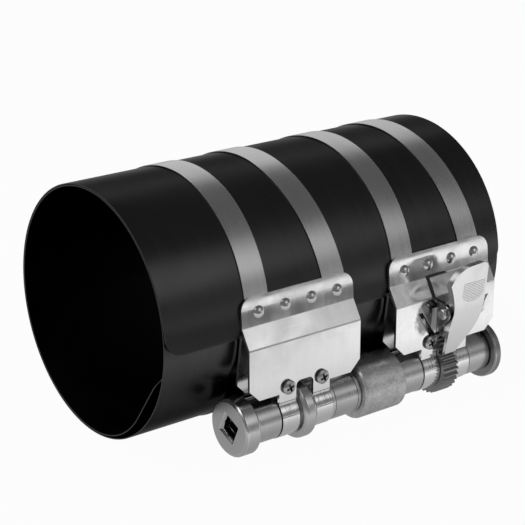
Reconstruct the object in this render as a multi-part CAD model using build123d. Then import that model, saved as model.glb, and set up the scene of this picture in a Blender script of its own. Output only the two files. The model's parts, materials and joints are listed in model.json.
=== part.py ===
"""Piston ring compressor: a wound spring-steel sleeve, four tension bands, two riveted
brackets and a square-drive ratchet spool with its thumb pawl.

Frame: +X runs along the sleeve from the drive-head end to the far end, +Z is up, the
brackets and the spool are on the -Y side. The origin is on the sleeve axis in the plane of
the near end. All sizes are millimetres, and angles in the Y-Z plane are counted from +Y
towards +Z.
"""
from build123d import *
from math import acos, atan2, cos, degrees, dist, hypot, radians, sin, sqrt, tan
import os

# Sleeve: one sheet wound a little under two turns, shown at its smallest size
SLEEVE_LENGTH = 152.4
SLEEVE_DIAMETER = 91.0
SHEET_T = 0.4
LAYER_GAP = 0.2
OUTER_END_ANGLE = 183.0
CORNER_R = 7.0
FLAP_BEND_INSET = 10.5
FLAP_BEND_ANGLE = 55.0
FLAP_TIP_INSET = 2.372

# Tension bands: each starts at its bay of the spool and drifts sideways over the top
BAND_W = 10.0
BAND_T = 0.4
BAND_SEAT_GAP = 0.03
BAND_DRIFT = (1.2, -4.0, 0.3, -4.4)
BAND_END_ANGLE = 178.0
BAND_SHIFT_DROP = 1.5
BAND_LAP_ANGLE = 30.0

# Brackets, pressed from one strip each: places from the sleeve's far end, and heights
# above the spool's axis
FAR_MARGIN = 31.6
BRACKET_PITCH = 66.0
BRACKET_W = 49.0
BRACKET_T = 1.0
BRACKET_BEND_R = 0.6
FLANGE_SEAT_GAP = 0.03
FLANGE_TOP_ANGLE = 166.0
FLANGE_BEND_ANGLE = 178.6
FLANGE_CORNER_R = 5.0
PLATE_SETOUT = 6.0
PLATE_TOP_RISE = 29.0
PLATE_BOTTOM_RISE = 10.0
PLATE_CHAMFER = 4.2
NOTCH_SHIFT = -0.5
NOTCH_W = 7.6
NOTCH_TOP_RISE = 13.2
NOTCH_R = 2.0
TONGUE_W = 7.4
LEAF_TOP_GAP = 0.41
LEAF_TOP_Z = -1.05

# Rivets, clamp screws and nuts
RIVETS = 4
RIVET_PITCH = 11.5
RIVET_ANGLE = 172.8
RIVET_SHANK_R = 1.25
RIVET_HEAD_R = 2.15
RIVET_HEAD_H = 1.35
HOLE_CLEARANCE = 0.02
SCREW_RISE = 12.0
SCREW_R = 1.5
SCREW_HEAD_R = 2.6
SCREW_HEAD_H = 1.7
SCREW_EDGE_H = 0.9
SCREW_RECESS = 0.9
SCREW_CROSS_L = 3.0
SCREW_CROSS_W = 0.75
SCREW_TURN = 22.0
NUT_FLATS = 5.5
NUT_H = 1.4
NUT_SEAT_GAP = 0.03
NUT_SLEEVE_GAP = 0.3
SCREW_TIP_OUT = 0.2

# Spool: what turns in the bracket loops, with the width of each band's bay
SPOOL_SLEEVE_GAP = 0.264
SPOOL_REST_GAP = 0.03
BAY_W = (10.7, 13.5, 10.5, 11.3)
CORE_R = 7.2
LOOP_CLEARANCE = 0.05
PRESS_CLEARANCE = 0.02
HEAD_L = 6.6
HEAD_R = 10.4
HEAD_CHAMFER = 0.8
SPIGOT_R = 6.0
SPIGOT_L = 3.2
SQUARE_DRIVE = 6.45
SOCKET_DEPTH = 9.5
SOCKET_LEAD = 0.9
SOCKET_TURN = 25.0
SOCKET_DRILL_R = 3.4
RING_W = 5.6
RING_R = 10.6
RING_EDGE = 1.2
CENTRE_R = 10.7
CENTRE_EDGE = 0.9
WHEEL_W = 7.0
WHEEL_R = 10.7
TEETH = 30
TOOTH_DEPTH = 1.1
TOOTH_FLANK = 34.0
TOOTH_ROOT_W = 0.3
END_FLANGE_L = 3.1
END_FLANGE_R = 11.0
END_FLANGE_EDGE = 0.4
COIL_R = 8.25
COIL_CLEARANCE = 0.3
LAND_R = 8.0
LAND_GAP = 0.2
TONGUE_SIDE_GAP = 0.3

# Pawl: points of its front outline are counted from the wheel's middle and from its pin
PIN_OUT = 4.0
PIN_RISE = 23.6
PAWL_T = 1.2
TIP_LEFT = -3.0
TIP_RIGHT = 2.3
TIP_RISE = -15.8
SHANK_LEFT = (-3.5, -11.0)
SHANK_LEFT_BULGE = (-3.7, -5.5)
SHANK_RIGHT = (6.4, -10.8)
SHANK_RIGHT_BULGE = (9.6, -6.3)
WAIST = (-3.2, 0.5)
WAIST_HOLLOW = (-4.4, 6.1)
SHOULDER = (11.3, -0.5)
PAD_LEFT = (-7.0, 12.6)
PAD_LEFT_CURVE = (-3.7, 16.9)
PAD_CROWN_LEFT = (2.3, 18.9)
PAD_CROWN_RIGHT = (7.7, 19.2)
PAD_CORNER = (9.75, 18.4)
PAD_RIGHT = (10.6, 16.4)
PAD_LEAN = 98.5
KNEE_RISE = 1.5
KNEE_R = 40.0
RIM_DEPTH = 2.6
RIM_END_RISE = -8.0
LOBE_R = 3.0
LOBE_ROOT = 8.0
NOSE_ANGLE = 141.0
NOSE_HALF_WEDGE = 27.0
NOSE_REST_GAP = 0.2
PAWL_ENGAGE_TURN = 4.6

# Pawl's ears, turned out of the right bracket's plate, and the openings they leave
EAR_T = 1.0
EAR_GAP = 0.8
EAR_R = 3.1
EAR_BEND_R = 2.0
EAR_TOP_RISE = 0.8
EAR_FOOT_RISE = -10.0
EAR_OPENING_W = 4.6
SLIT_TOP_OUT = 8.9
SLIT_FOOT_OUT = 1.9
SLIT_W = 2.6
SLIT_BEVEL = 1.3
WINDOW_TOP_RISE = 5.6
WINDOW_R = 1.6

# Pawl's pin and torsion spring
PIN_R = 1.3
PIN_RUNNING = 0.05
PIN_HEAD_R = 2.2
PIN_HEAD_L = 1.1
PIN_HEAD_EDGE_R = 0.85
SPRING_WIRE = 0.75
SPRING_TURN_GAP = 0.15
SPRING_WHOLE_TURNS = 3
SPRING_BORE_GAP = 0.15
SPRING_SIDE_GAP = 1.2
SPRING_LEG_LEAN = 12.0
SPRING_PAD_LEG = 8.0
SPRING_LEAD = 1.1
SPRING_SILL_RISE = 1.5
SPRING_SEAT_GAP = 0.08
SPRING_JOINT_PROUD = 0.01
SPRING_CORNER_X = -5.7
SPRING_END_X = 3.2

# Worked-out values that several pieces share
OUTER_R = SLEEVE_DIAMETER / 2
PITCH = SHEET_T + LAYER_GAP
LOWER_Y = PITCH / 2
FLAP_BEND_R = OUTER_R - FLAP_BEND_INSET
FLANGE_R = OUTER_R + BAND_SEAT_GAP + BAND_T + FLANGE_SEAT_GAP
LOOP_R = CORE_R + LOOP_CLEARANCE + BRACKET_T
SPOOL_Z = END_FLANGE_R + SPOOL_REST_GAP - (OUTER_R + BAND_SEAT_GAP + BAND_T - LOWER_Y)
SPOOL_Y = -sqrt((OUTER_R + SPOOL_SLEEVE_GAP + END_FLANGE_R) ** 2 - SPOOL_Z ** 2)
SPOOL = (SPOOL_Y, SPOOL_Z)
PLATE_FACE_Y = SPOOL_Y - PLATE_SETOUT
PLATE_BACK_Y = PLATE_FACE_Y + BRACKET_T
LEAF_TOP = (-OUTER_R - LEAF_TOP_GAP, LEAF_TOP_Z)
SCREW_Z = SPOOL_Z + SCREW_RISE
NUT_CORNER_R = NUT_FLATS / sqrt(3)
NUT_END_R = OUTER_R - LOWER_Y + NUT_SLEEVE_GAP
NUT_FACE_Y = LOWER_Y - sqrt(NUT_END_R ** 2 - (SCREW_Z + NUT_CORNER_R) ** 2) - NUT_H
LEAF_RUN = (NUT_FACE_Y - NUT_SEAT_GAP - LEAF_TOP[0], LEAF_TOP[1] - SCREW_Z + NUT_CORNER_R)
LEAF_SLOPE = degrees(atan2(*LEAF_RUN))
BRACKET_X = (SLEEVE_LENGTH - FAR_MARGIN - BRACKET_PITCH, SLEEVE_LENGTH - FAR_MARGIN)
NOTCH_X = (BRACKET_X[0] + NOTCH_SHIFT, BRACKET_X[1] + NOTCH_SHIFT)
TONGUES_HALF = NOTCH_W / 2 + TONGUE_W
HEAD_BACK_X = NOTCH_X[0] - TONGUES_HALF - BAY_W[0]
HEAD_X = HEAD_BACK_X - HEAD_L
CENTRE_X = NOTCH_X[0] + TONGUES_HALF + BAY_W[1]
CENTRE_END_X = NOTCH_X[1] - TONGUES_HALF - BAY_W[2]
END_FLANGE_X = NOTCH_X[1] + TONGUES_HALF + BAY_W[3]
BAYS = (
    (HEAD_BACK_X, NOTCH_X[0] - TONGUES_HALF),
    (NOTCH_X[0] + TONGUES_HALF, CENTRE_X),
    (CENTRE_END_X, NOTCH_X[1] - TONGUES_HALF),
    (NOTCH_X[1] + TONGUES_HALF, END_FLANGE_X),
)
BAND_X = tuple((start + end) / 2 for start, end in BAYS)
WHEEL_X = NOTCH_X[1]
PIN_Z = SPOOL_Z + PIN_RISE
PIN = (PLATE_FACE_Y - PIN_OUT, PIN_Z)
PAWL_NEAR = WHEEL_X + WAIST[0]
PAWL_FAR = WHEEL_X + SHOULDER[0]
PAWL_MIDDLE = (PAWL_NEAR + PAWL_FAR) / 2
KNEE_Z = PIN_Z + KNEE_RISE
EAR_TOP_Z = PIN_Z + EAR_TOP_RISE
EAR_FOOT_Z = PIN_Z + EAR_FOOT_RISE
CUT_OVER = 1.0
BIG = 400.0


def polar(centre, radius, angle):
    """Point in the Y-Z plane at an angle in degrees."""
    return (centre[0] + radius * cos(radians(angle)), centre[1] + radius * sin(radians(angle)))


def arc(centre, radius, start, end):
    """Arc in the Y-Z plane between two angles in degrees."""
    return ThreePointArc(
        polar(centre, radius, start),
        polar(centre, radius, (start + end) / 2),
        polar(centre, radius, end),
    )


def prism(outline, x0, x1):
    """Solid from an outline drawn in Y-Z, between two places along X."""
    return extrude(Plane.YZ.offset(x0) * outline, amount=x1 - x0)


def outline_of(edges):
    """Face from edges that follow one another."""
    return make_face(Wire(edges))


def cylinder_x(centre, radius, x0, x1):
    """Round bar along X."""
    return prism(Pos(*centre) * Circle(radius), x0, x1)


def front_prism(outline, y0, y1):
    """Solid from an outline drawn in X-Z, between two places along Y."""
    plane = Plane(origin=(0, y0, 0), x_dir=(1, 0, 0), z_dir=(0, -1, 0))
    return extrude(plane * outline, amount=y0 - y1)


def radial_bar(x, angle, radius, r0, r1):
    """Round bar along a radius of the sleeve."""
    way = (0, cos(radians(angle)), sin(radians(angle)))
    start = (x, r0 * way[1], r0 * way[2])
    return extrude(Plane(origin=start, z_dir=way) * Circle(radius), amount=r1 - r0)


def meet_circle(point, way, centre, radius):
    """First point at which a line from a point meets a circle in the Y-Z plane."""
    dy, dz = point[0] - centre[0], point[1] - centre[1]
    along = dy * way[0] + dz * way[1]
    half_chord = sqrt(along ** 2 - (dy ** 2 + dz ** 2 - radius ** 2))
    reach = -along - half_chord
    return point[0] + reach * way[0], point[1] + reach * way[1]


def flap_straight(bend_centre, bend_end):
    """Length of the flap's straight run, which stops short of the sleeve's wall."""
    corner = polar(bend_centre, FLAP_BEND_R, bend_end)
    outside = polar(corner, SLEEVE_DIAMETER, bend_end - 90)
    back = polar((0, 0), 1, bend_end + 90)
    return dist(corner, meet_circle(outside, back, (0, 0), OUTER_R - FLAP_TIP_INSET))


def spiral_side(depth):
    """One face of the wound sheet, at a depth below its outer face, from outer to inner end."""
    upper = (0, 0)
    lower = (LOWER_Y, 0)
    r1 = OUTER_R - depth
    bottom = r1 - 1.5 * PITCH
    bend_centre = (LOWER_Y, FLAP_BEND_R - (OUTER_R - 1.5 * PITCH))
    bend_end = 270 - FLAP_BEND_ANGLE
    corner = polar(bend_centre, FLAP_BEND_R - depth, bend_end)
    tip = polar(corner, flap_straight(bend_centre, bend_end), bend_end - 90)
    return [
        arc(upper, r1, OUTER_END_ANGLE, 0),
        arc(lower, r1 - PITCH / 2, 0, -180),
        arc(upper, r1 - PITCH, 180, 0),
        arc(lower, bottom, 0, -90),
        arc(bend_centre, FLAP_BEND_R - depth, 270, bend_end),
        Line(corner, tip),
    ]


def corner_tool(x0, side):
    """Stock removed at a sheet's corner, in local X-Y with the sheet's end along X."""
    over = LAYER_GAP
    height = CORNER_R + over
    square = Pos(x0 + side * (CORNER_R - over) / 2, height / 2 - over) * Rectangle(CORNER_R + over, height)
    disc = Pos(x0 + side * CORNER_R, CORNER_R) * Circle(CORNER_R)
    return square - disc


def make_sleeve():
    """Sheet wound nearly twice, with round corners and holes for the rivets."""
    outer = spiral_side(0)
    inner = spiral_side(SHEET_T)
    ends = [Line(outer[0] @ 0, inner[0] @ 0), Line(outer[-1] @ 1, inner[-1] @ 1)]
    body = prism(outline_of(outer + inner + ends), 0, SLEEVE_LENGTH)
    between = OUTER_R - SHEET_T - LAYER_GAP / 2
    end_z = OUTER_R * sin(radians(OUTER_END_ANGLE))
    past = OUTER_R + CUT_OVER
    outer_layer = prism(Circle(past) - Circle(between), -CUT_OVER, SLEEVE_LENGTH + CUT_OVER)
    outer_end = Plane(origin=(0, 0, end_z), x_dir=(1, 0, 0), z_dir=(0, -1, 0))
    tip = outer[-1] @ 1
    back = -(outer[-1] % 1)
    flap_end = Plane(origin=(0, tip.X, tip.Y), x_dir=(1, 0, 0), z_dir=(0, back.Y, -back.X))
    for x0, side in ((0, 1), (SLEEVE_LENGTH, -1)):
        body -= extrude(outer_end * corner_tool(x0, side), amount=BIG) & outer_layer
        tool = mirror(corner_tool(x0, side), about=Plane.XZ)
        body -= extrude(flap_end * tool, amount=SHEET_T + LAYER_GAP, both=True)
    for x in rivet_places(0) + rivet_places(1):
        body -= radial_bar(x, RIVET_ANGLE, RIVET_SHANK_R + HOLE_CLEARANCE, between, past)
    return body


def rivet_places(bracket):
    """Places of a bracket's rivets along X."""
    middle = (RIVETS - 1) / 2
    return [BRACKET_X[bracket] + (i - middle) * RIVET_PITCH for i in range(RIVETS)]


def tangent_angle(sleeve_r, spool_r):
    """Angle on the sleeve at which a crossing tangent leaves for the spool."""
    span_y = SPOOL_Y - LOWER_Y
    towards = degrees(atan2(SPOOL_Z, span_y)) % 360
    return towards + degrees(acos((sleeve_r + spool_r) / hypot(span_y, SPOOL_Z)))


def band_side(sleeve_r, spool_r):
    """One face of a band, from its riveted end round the sleeve to the spool."""
    lower = (LOWER_Y, 0)
    leave = tangent_angle(sleeve_r - PITCH / 2, spool_r)
    meet = leave - 180
    return [
        arc((0, 0), sleeve_r, BAND_END_ANGLE, 0),
        arc(lower, sleeve_r - PITCH / 2, 0, leave - 360),
        Line(polar(lower, sleeve_r - PITCH / 2, leave), polar(SPOOL, spool_r, meet)),
        arc(SPOOL, spool_r, meet, meet + BAND_LAP_ANGLE),
    ]


def make_band(index):
    """Tension band: riveted under its flange, over the top, round the back and to the spool."""
    near = OUTER_R + BAND_SEAT_GAP
    lap = COIL_R + COIL_CLEARANCE
    outer = band_side(near + BAND_T, lap)
    inner = band_side(near, lap + BAND_T)
    ends = [Line(outer[0] @ 0, inner[0] @ 0), Line(outer[-1] @ 1, inner[-1] @ 1)]
    strip = prism(outline_of(outer + inner + ends), 0, SLEEVE_LENGTH)
    x_end = BAND_X[index]
    x_top = x_end + BAND_DRIFT[index]
    shift_z = OUTER_R - BAND_SHIFT_DROP
    path = (
        (x_top, SLEEVE_DIAMETER), (x_top, shift_z), (x_end, BAND_W / 2),
        (x_end, SPOOL_Z + CORE_R), (x_top, -shift_z), (x_top, -SLEEVE_DIAMETER),
    )
    left = [(x - BAND_W / 2, z) for x, z in path]
    right = [(x + BAND_W / 2, z) for x, z in reversed(path)]
    front = front_prism(make_face(Polyline(*left, *right, left[0])), 0, -BIG)
    back = Pos(x_top, BIG / 2, 0) * Box(BAND_W, BIG, BIG)
    band = strip & (front + back)
    rivet_x = rivet_places(index // 2)[-(index % 2)]
    hole = RIVET_SHANK_R + HOLE_CLEARANCE
    return band - radial_bar(rivet_x, RIVET_ANGLE, hole, OUTER_R - CUT_OVER, FLANGE_R + CUT_OVER)


def strip_side(depth):
    """One face of a bracket's strip, at a depth below its outer face, from flange to leaf."""
    plate_y = PLATE_FACE_Y + depth
    flange_r = FLANGE_R + BRACKET_T - depth
    loop_r = LOOP_R - depth
    bend = polar((0, 0), FLANGE_R + BRACKET_T, FLANGE_BEND_ANGLE)
    run = (PLATE_FACE_Y - bend[0], SPOOL_Z + PLATE_TOP_RISE - bend[1])
    way = (run[0] / hypot(*run), run[1] / hypot(*run))
    on_slope = (bend[0] - depth * way[1], bend[1] + depth * way[0])
    top = meet_circle(on_slope, (-way[0], -way[1]), (0, 0), flange_r)
    foot_z = on_slope[1] + (plate_y - on_slope[0]) * way[1] / way[0]
    fold_z = SPOOL_Z + sqrt(loop_r ** 2 - (plate_y - SPOOL_Y) ** 2)
    fold_angle = degrees(atan2(fold_z - SPOOL_Z, plate_y - SPOOL_Y))
    leaf_top = polar(LEAF_TOP, -depth, LEAF_SLOPE)
    leaf_foot = meet_circle(leaf_top, polar((0, 0), 1, LEAF_SLOPE - 90), SPOOL, loop_r)
    foot_angle = degrees(atan2(leaf_foot[1] - SPOOL_Z, leaf_foot[0] - SPOOL_Y))
    top_angle = degrees(atan2(top[1], top[0])) % 360
    return [
        arc((0, 0), flange_r, FLANGE_TOP_ANGLE, top_angle),
        Line(top, (plate_y, foot_z)),
        Line((plate_y, foot_z), (plate_y, fold_z)),
        arc(SPOOL, loop_r, fold_angle, foot_angle + 360),
        Line(leaf_foot, leaf_top),
    ]


def strip_outline():
    """Section of a bracket: flange, slope, front plate, bearing loop and rear leaf."""
    outer = strip_side(0)
    inner = strip_side(BRACKET_T)
    ends = [Line(outer[0] @ 0, inner[0] @ 0), Line(outer[-1] @ 1, inner[-1] @ 1)]
    section = outline_of(outer + inner + ends)
    for hollow, proud in ((outer[1] @ 0, inner[1] @ 0), (inner[2] @ 0, outer[2] @ 0)):
        section = fillet(section.vertices().sort_by_distance(hollow)[0], BRACKET_BEND_R)
        section = fillet(section.vertices().sort_by_distance(proud)[0], BRACKET_BEND_R + BRACKET_T)
    return section


def bracket_front(index):
    """Front outline of a bracket in X-Z, with its chamfers, tongues and notch."""
    centre = BRACKET_X[index]
    left, right = centre - BRACKET_W / 2, centre + BRACKET_W / 2
    top_z = (FLANGE_R + BRACKET_T) * sin(radians(FLANGE_TOP_ANGLE))
    near, far = NOTCH_X[index] - TONGUES_HALF, NOTCH_X[index] + TONGUES_HALF
    bottom_z = SPOOL_Z + PLATE_BOTTOM_RISE
    foot = SPOOL_Z - 2 * LOOP_R
    points = [
        (left, top_z), (right, top_z), (right, bottom_z + PLATE_CHAMFER),
        (right - PLATE_CHAMFER, bottom_z), (far, bottom_z), (far, foot),
        (near, foot), (near, bottom_z), (left + PLATE_CHAMFER, bottom_z),
        (left, bottom_z + PLATE_CHAMFER),
    ]
    sheet = make_face(Polyline(*points, points[0]))
    sheet = fillet(sheet.vertices().sort_by(Axis.Y)[-2:], FLANGE_CORNER_R)
    notch_top = SPOOL_Z + NOTCH_TOP_RISE
    height = notch_top - foot + NOTCH_R
    notch = Pos(NOTCH_X[index], notch_top - height / 2) * RectangleRounded(NOTCH_W, height, NOTCH_R)
    return sheet - notch


def tongue_places(index):
    """Middle of each of a bracket's two tongues along X."""
    offset = (NOTCH_W + TONGUE_W) / 2
    return [NOTCH_X[index] - offset, NOTCH_X[index] + offset]


def make_bracket(index):
    """Bracket bent from one strip, with rivet and screw holes."""
    half = BRACKET_W / 2
    body = prism(strip_outline(), BRACKET_X[index] - half, BRACKET_X[index] + half)
    body &= front_prism(bracket_front(index), 0, -BIG)
    for x in rivet_places(index):
        hole = RIVET_SHANK_R + HOLE_CLEARANCE
        body -= radial_bar(x, RIVET_ANGLE, hole, FLANGE_R - BRACKET_T, FLANGE_R + 2 * BRACKET_T)
    for x in tongue_places(index):
        hole = Pos(x, SCREW_Z) * Circle(SCREW_R + HOLE_CLEARANCE)
        body -= front_prism(hole, SPOOL_Y + CORE_R, PLATE_FACE_Y - BRACKET_T)
    return body


def ear_faces():
    """Outer and inner face of the left ear along X."""
    inner = PAWL_NEAR - EAR_GAP
    return inner - EAR_T, inner


def slit_outline(right, left):
    """Slanted strip of the slit beside the left ear, between two offsets along X."""
    outer, _ = ear_faces()
    top_x, foot_x = outer - SLIT_TOP_OUT, outer - SLIT_FOOT_OUT
    points = [
        (top_x + left, EAR_TOP_Z), (top_x + right, EAR_TOP_Z),
        (foot_x + right, EAR_FOOT_Z), (foot_x + left, EAR_FOOT_Z),
    ]
    return make_face(Polyline(*points, points[0]))


def make_ear():
    """Left ear: turned out of the plate through a quarter bend, narrow at the foot."""
    outer, inner = ear_faces()
    tip = PIN[0] - EAR_R
    centre = (outer - EAR_BEND_R, PLATE_FACE_Y - EAR_BEND_R)
    root = centre[0] - BRACKET_T
    plan = outline_of([
        Line((root, PLATE_FACE_Y), (centre[0], PLATE_FACE_Y)),
        arc(centre, EAR_BEND_R, 90, 0),
        Line((outer, centre[1]), (outer, tip)),
        Line((outer, tip), (inner, tip)),
        Line((inner, tip), (inner, centre[1])),
        arc(centre, EAR_BEND_R + EAR_T, 0, 90),
        Line((centre[0], PLATE_BACK_Y), (root, PLATE_BACK_Y)),
        Line((root, PLATE_BACK_Y), (root, PLATE_FACE_Y)),
    ])
    ear = extrude(Plane.XY.offset(EAR_FOOT_Z) * plan, amount=2 * EAR_R - EAR_FOOT_RISE)
    disc = Pos(*PIN) * Circle(EAR_R)
    root_line = Line((PLATE_BACK_Y, EAR_TOP_Z), (PLATE_BACK_Y, EAR_FOOT_Z))
    ear &= prism(make_hull(disc.edges() + root_line.edges()), root, inner)
    return ear - front_prism(slit_outline(SLIT_W, -BRACKET_W), PLATE_BACK_Y, tip)


def make_openings():
    """What is cut from the plate for the left ear: bevelled slit and the blank's opening."""
    outer, _ = ear_faces()
    mouth = Plane(origin=(0, PLATE_FACE_Y, 0), x_dir=(1, 0, 0), z_dir=(0, -1, 0))
    floor = Plane(origin=(0, PLATE_BACK_Y, 0), x_dir=(1, 0, 0), z_dir=(0, -1, 0))
    slit = loft([mouth * slit_outline(SLIT_W, 0), floor * slit_outline(SLIT_W, SLIT_BEVEL)])
    start = outer - EAR_BEND_R
    slope = (SLIT_TOP_OUT - SLIT_FOOT_OUT) / (EAR_TOP_Z - EAR_FOOT_Z)
    bend_z = EAR_TOP_Z - (SLIT_TOP_OUT - EAR_BEND_R - SLIT_BEVEL) / slope
    points = [
        (start, EAR_TOP_Z), (start + EAR_OPENING_W, EAR_TOP_Z), (start + EAR_OPENING_W, EAR_FOOT_Z),
        (outer - SLIT_FOOT_OUT + SLIT_BEVEL, EAR_FOOT_Z), (start, bend_z),
    ]
    blank = front_prism(make_face(Polyline(*points, points[0])), PLATE_BACK_Y, PLATE_FACE_Y)
    return slit + blank


def make_right_bracket():
    """Right bracket: the plain form plus the pawl's ears, their openings and the window."""
    body = make_bracket(1)
    middle = Plane.YZ.offset(PAWL_MIDDLE)
    cut = make_openings()
    body -= cut
    body -= mirror(cut, about=middle)
    width = PAWL_FAR - PAWL_NEAR
    top = PIN_Z + WINDOW_TOP_RISE
    window = Pos(PAWL_MIDDLE, (top + EAR_TOP_Z) / 2) * RectangleRounded(width, top - EAR_TOP_Z, WINDOW_R)
    body -= front_prism(window, PLATE_BACK_Y + BRACKET_T, PLATE_FACE_Y - BRACKET_T)
    ear = make_ear()
    body += ear
    body += mirror(ear, about=middle)
    outer, _ = ear_faces()
    hole = cylinder_x(PIN, PIN_R + HOLE_CLEARANCE, outer - EAR_T, 2 * PAWL_MIDDLE - outer + EAR_T)
    return body - hole


def make_rivets(index):
    """Four dome-headed rivets, flush inside the sleeve's outer layer."""
    seat = FLANGE_R + BRACKET_T
    dome_r = (RIVET_HEAD_R ** 2 + RIVET_HEAD_H ** 2) / (2 * RIVET_HEAD_H)
    half = [
        Line((0, OUTER_R - SHEET_T), (RIVET_SHANK_R, OUTER_R - SHEET_T)),
        Line((RIVET_SHANK_R, OUTER_R - SHEET_T), (RIVET_SHANK_R, seat)),
        Line((RIVET_SHANK_R, seat), (RIVET_HEAD_R, seat)),
        RadiusArc((RIVET_HEAD_R, seat), (0, seat + RIVET_HEAD_H), -dome_r),
        Line((0, seat + RIVET_HEAD_H), (0, OUTER_R - SHEET_T)),
    ]
    rivet = revolve(Plane.XZ * outline_of(half), Axis.Z)
    turned = Rot(RIVET_ANGLE - 90, 0, 0) * rivet
    return Compound([Pos(x, 0, 0) * turned for x in rivet_places(index)])


def make_screws(index):
    """Two pan-head screws with cross recesses, through the front plate and the rear leaf."""
    end = NUT_FACE_Y + NUT_H + SCREW_TIP_OUT
    edge = PLATE_FACE_Y - SCREW_EDGE_H
    face = PLATE_FACE_Y - SCREW_HEAD_H
    dome_h = SCREW_HEAD_H - SCREW_EDGE_H
    dome_r = (SCREW_HEAD_R ** 2 + dome_h ** 2) / (2 * dome_h)
    half = [
        Line((0, end), (SCREW_R, end)),
        Line((SCREW_R, end), (SCREW_R, PLATE_FACE_Y)),
        Line((SCREW_R, PLATE_FACE_Y), (SCREW_HEAD_R, PLATE_FACE_Y)),
        Line((SCREW_HEAD_R, PLATE_FACE_Y), (SCREW_HEAD_R, edge)),
        RadiusArc((SCREW_HEAD_R, edge), (0, face), dome_r),
        Line((0, face), (0, end)),
    ]
    screw = revolve(outline_of(half), Axis.Y)
    cross = Rectangle(SCREW_CROSS_L, SCREW_CROSS_W) + Rectangle(SCREW_CROSS_W, SCREW_CROSS_L)
    screw -= front_prism(Rot(0, 0, SCREW_TURN) * cross, face + SCREW_RECESS, face - CUT_OVER)
    return Compound([Pos(x, 0, SCREW_Z) * screw for x in tongue_places(index)])


def make_nuts(index):
    """Two thin hexagon nuts behind the rear leaf."""
    hexagon = RegularPolygon(NUT_FLATS / 2, 6, major_radius=False, rotation=30)
    ring = hexagon - Circle(SCREW_R + HOLE_CLEARANCE)
    plates = [
        front_prism(Pos(x, SCREW_Z) * ring, NUT_FACE_Y + NUT_H, NUT_FACE_Y)
        for x in tongue_places(index)
    ]
    return Compound(plates)


def make_collar(radius, x0, x1, edge):
    """Ring pressed on the core between two places along X, with bevelled outer edges."""
    body = cylinder_x(SPOOL, radius, x0, x1)
    body = chamfer(body.edges().filter_by(GeomType.CIRCLE), edge)
    return body - cylinder_x(SPOOL, CORE_R + PRESS_CLEARANCE, x0 - CUT_OVER, x1 + CUT_OVER)


def square_socket(depth):
    """Broached square hole over a drilled one, with a lead-in, cut from the drive end."""
    turned = Pos(*SPOOL) * Rot(0, 0, SOCKET_TURN)
    square = turned * Rectangle(SQUARE_DRIVE, SQUARE_DRIVE)
    hole = prism(square, HEAD_X - CUT_OVER, HEAD_X + depth)
    hole += cylinder_x(SPOOL, SOCKET_DRILL_R, HEAD_X - CUT_OVER, HEAD_X + depth)
    wide = SQUARE_DRIVE + 2 * SOCKET_LEAD
    mouth = Plane.YZ.offset(HEAD_X) * (turned * Rectangle(wide, wide))
    return hole + extrude(mouth, amount=SOCKET_LEAD, taper=45)


def make_drive_head():
    """Head with the square socket, bored behind for the shaft's spigot."""
    body = cylinder_x(SPOOL, HEAD_R, HEAD_X, HEAD_BACK_X)
    body = chamfer(body.edges().filter_by(GeomType.CIRCLE), HEAD_CHAMFER)
    bore = SPIGOT_R + PRESS_CLEARANCE
    body -= cylinder_x(SPOOL, bore, HEAD_BACK_X - SPIGOT_L, HEAD_BACK_X + CUT_OVER)
    return body - square_socket(SOCKET_DEPTH)


def make_spool_shaft():
    """Core bar with its spigot, and a land beside each coil that doesn't fill its bay."""
    seat = HEAD_BACK_X + PRESS_CLEARANCE
    body = cylinder_x(SPOOL, CORE_R, seat, END_FLANGE_X + END_FLANGE_L)
    body += cylinder_x(SPOOL, SPIGOT_R, seat - SPIGOT_L, seat + CUT_OVER)
    for index, (start, finish) in enumerate(BAYS):
        coil = BAND_X[index]
        spaces = (
            (start + TONGUE_SIDE_GAP, coil - BAND_W / 2 - LAND_GAP),
            (coil + BAND_W / 2 + LAND_GAP, finish - TONGUE_SIDE_GAP),
        )
        for x0, x1 in spaces:
            if x1 - x0 > LAND_GAP:
                body += cylinder_x(SPOOL, LAND_R, x0, x1)
    return body - square_socket(SOCKET_DEPTH)


def make_coil(index):
    """Band wound on the core; its outer turn steps up where the free strip comes off."""
    step = tangent_angle(OUTER_R, COIL_R) - 180 + BAND_LAP_ANGLE
    low = COIL_R - BAND_T
    start = polar(SPOOL, COIL_R, step)
    half_way = polar(SPOOL, COIL_R, step - 180)
    finish = polar(SPOOL, low, step)
    middle = ((half_way[0] + finish[0]) / 2, (half_way[1] + finish[1]) / 2)
    turn = outline_of([
        arc(SPOOL, COIL_R, step, step - 180),
        arc(middle, (COIL_R + low) / 2, step - 180, step - 360),
        Line(finish, start),
    ])
    bore = Pos(*SPOOL) * Circle(CORE_R + PRESS_CLEARANCE)
    return prism(turn - bore, BAND_X[index] - BAND_W / 2, BAND_X[index] + BAND_W / 2)


def valley(angle):
    """Gap between two teeth, as an outline at an angle round the wheel."""
    deep = WHEEL_R - TOOTH_DEPTH
    past = WHEEL_R + TOOTH_DEPTH
    root = TOOTH_ROOT_W / 2
    mouth = root + 2 * TOOTH_DEPTH * tan(radians(TOOTH_FLANK))
    points = [(deep, -root), (past, -mouth), (past, mouth), (deep, root)]
    return Pos(*SPOOL) * Rot(0, 0, angle) * make_face(Polyline(*points, points[0]))


def make_ratchet_wheel():
    """Ratchet wheel pressed on the core, with a valley where the pawl's nose drops in."""
    blank = Pos(*SPOOL) * Circle(WHEEL_R) - Pos(*SPOOL) * Circle(CORE_R + PRESS_CLEARANCE)
    gaps = Sketch() + [valley(engaged_angle() + i * 360 / TEETH) for i in range(TEETH)]
    return prism(blank - gaps, WHEEL_X - WHEEL_W / 2, WHEEL_X + WHEEL_W / 2)


def nose_point():
    """Place of the nose's edge at rest, just clear of the tooth tips."""
    return polar(SPOOL, WHEEL_R + NOSE_REST_GAP, NOSE_ANGLE)


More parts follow.
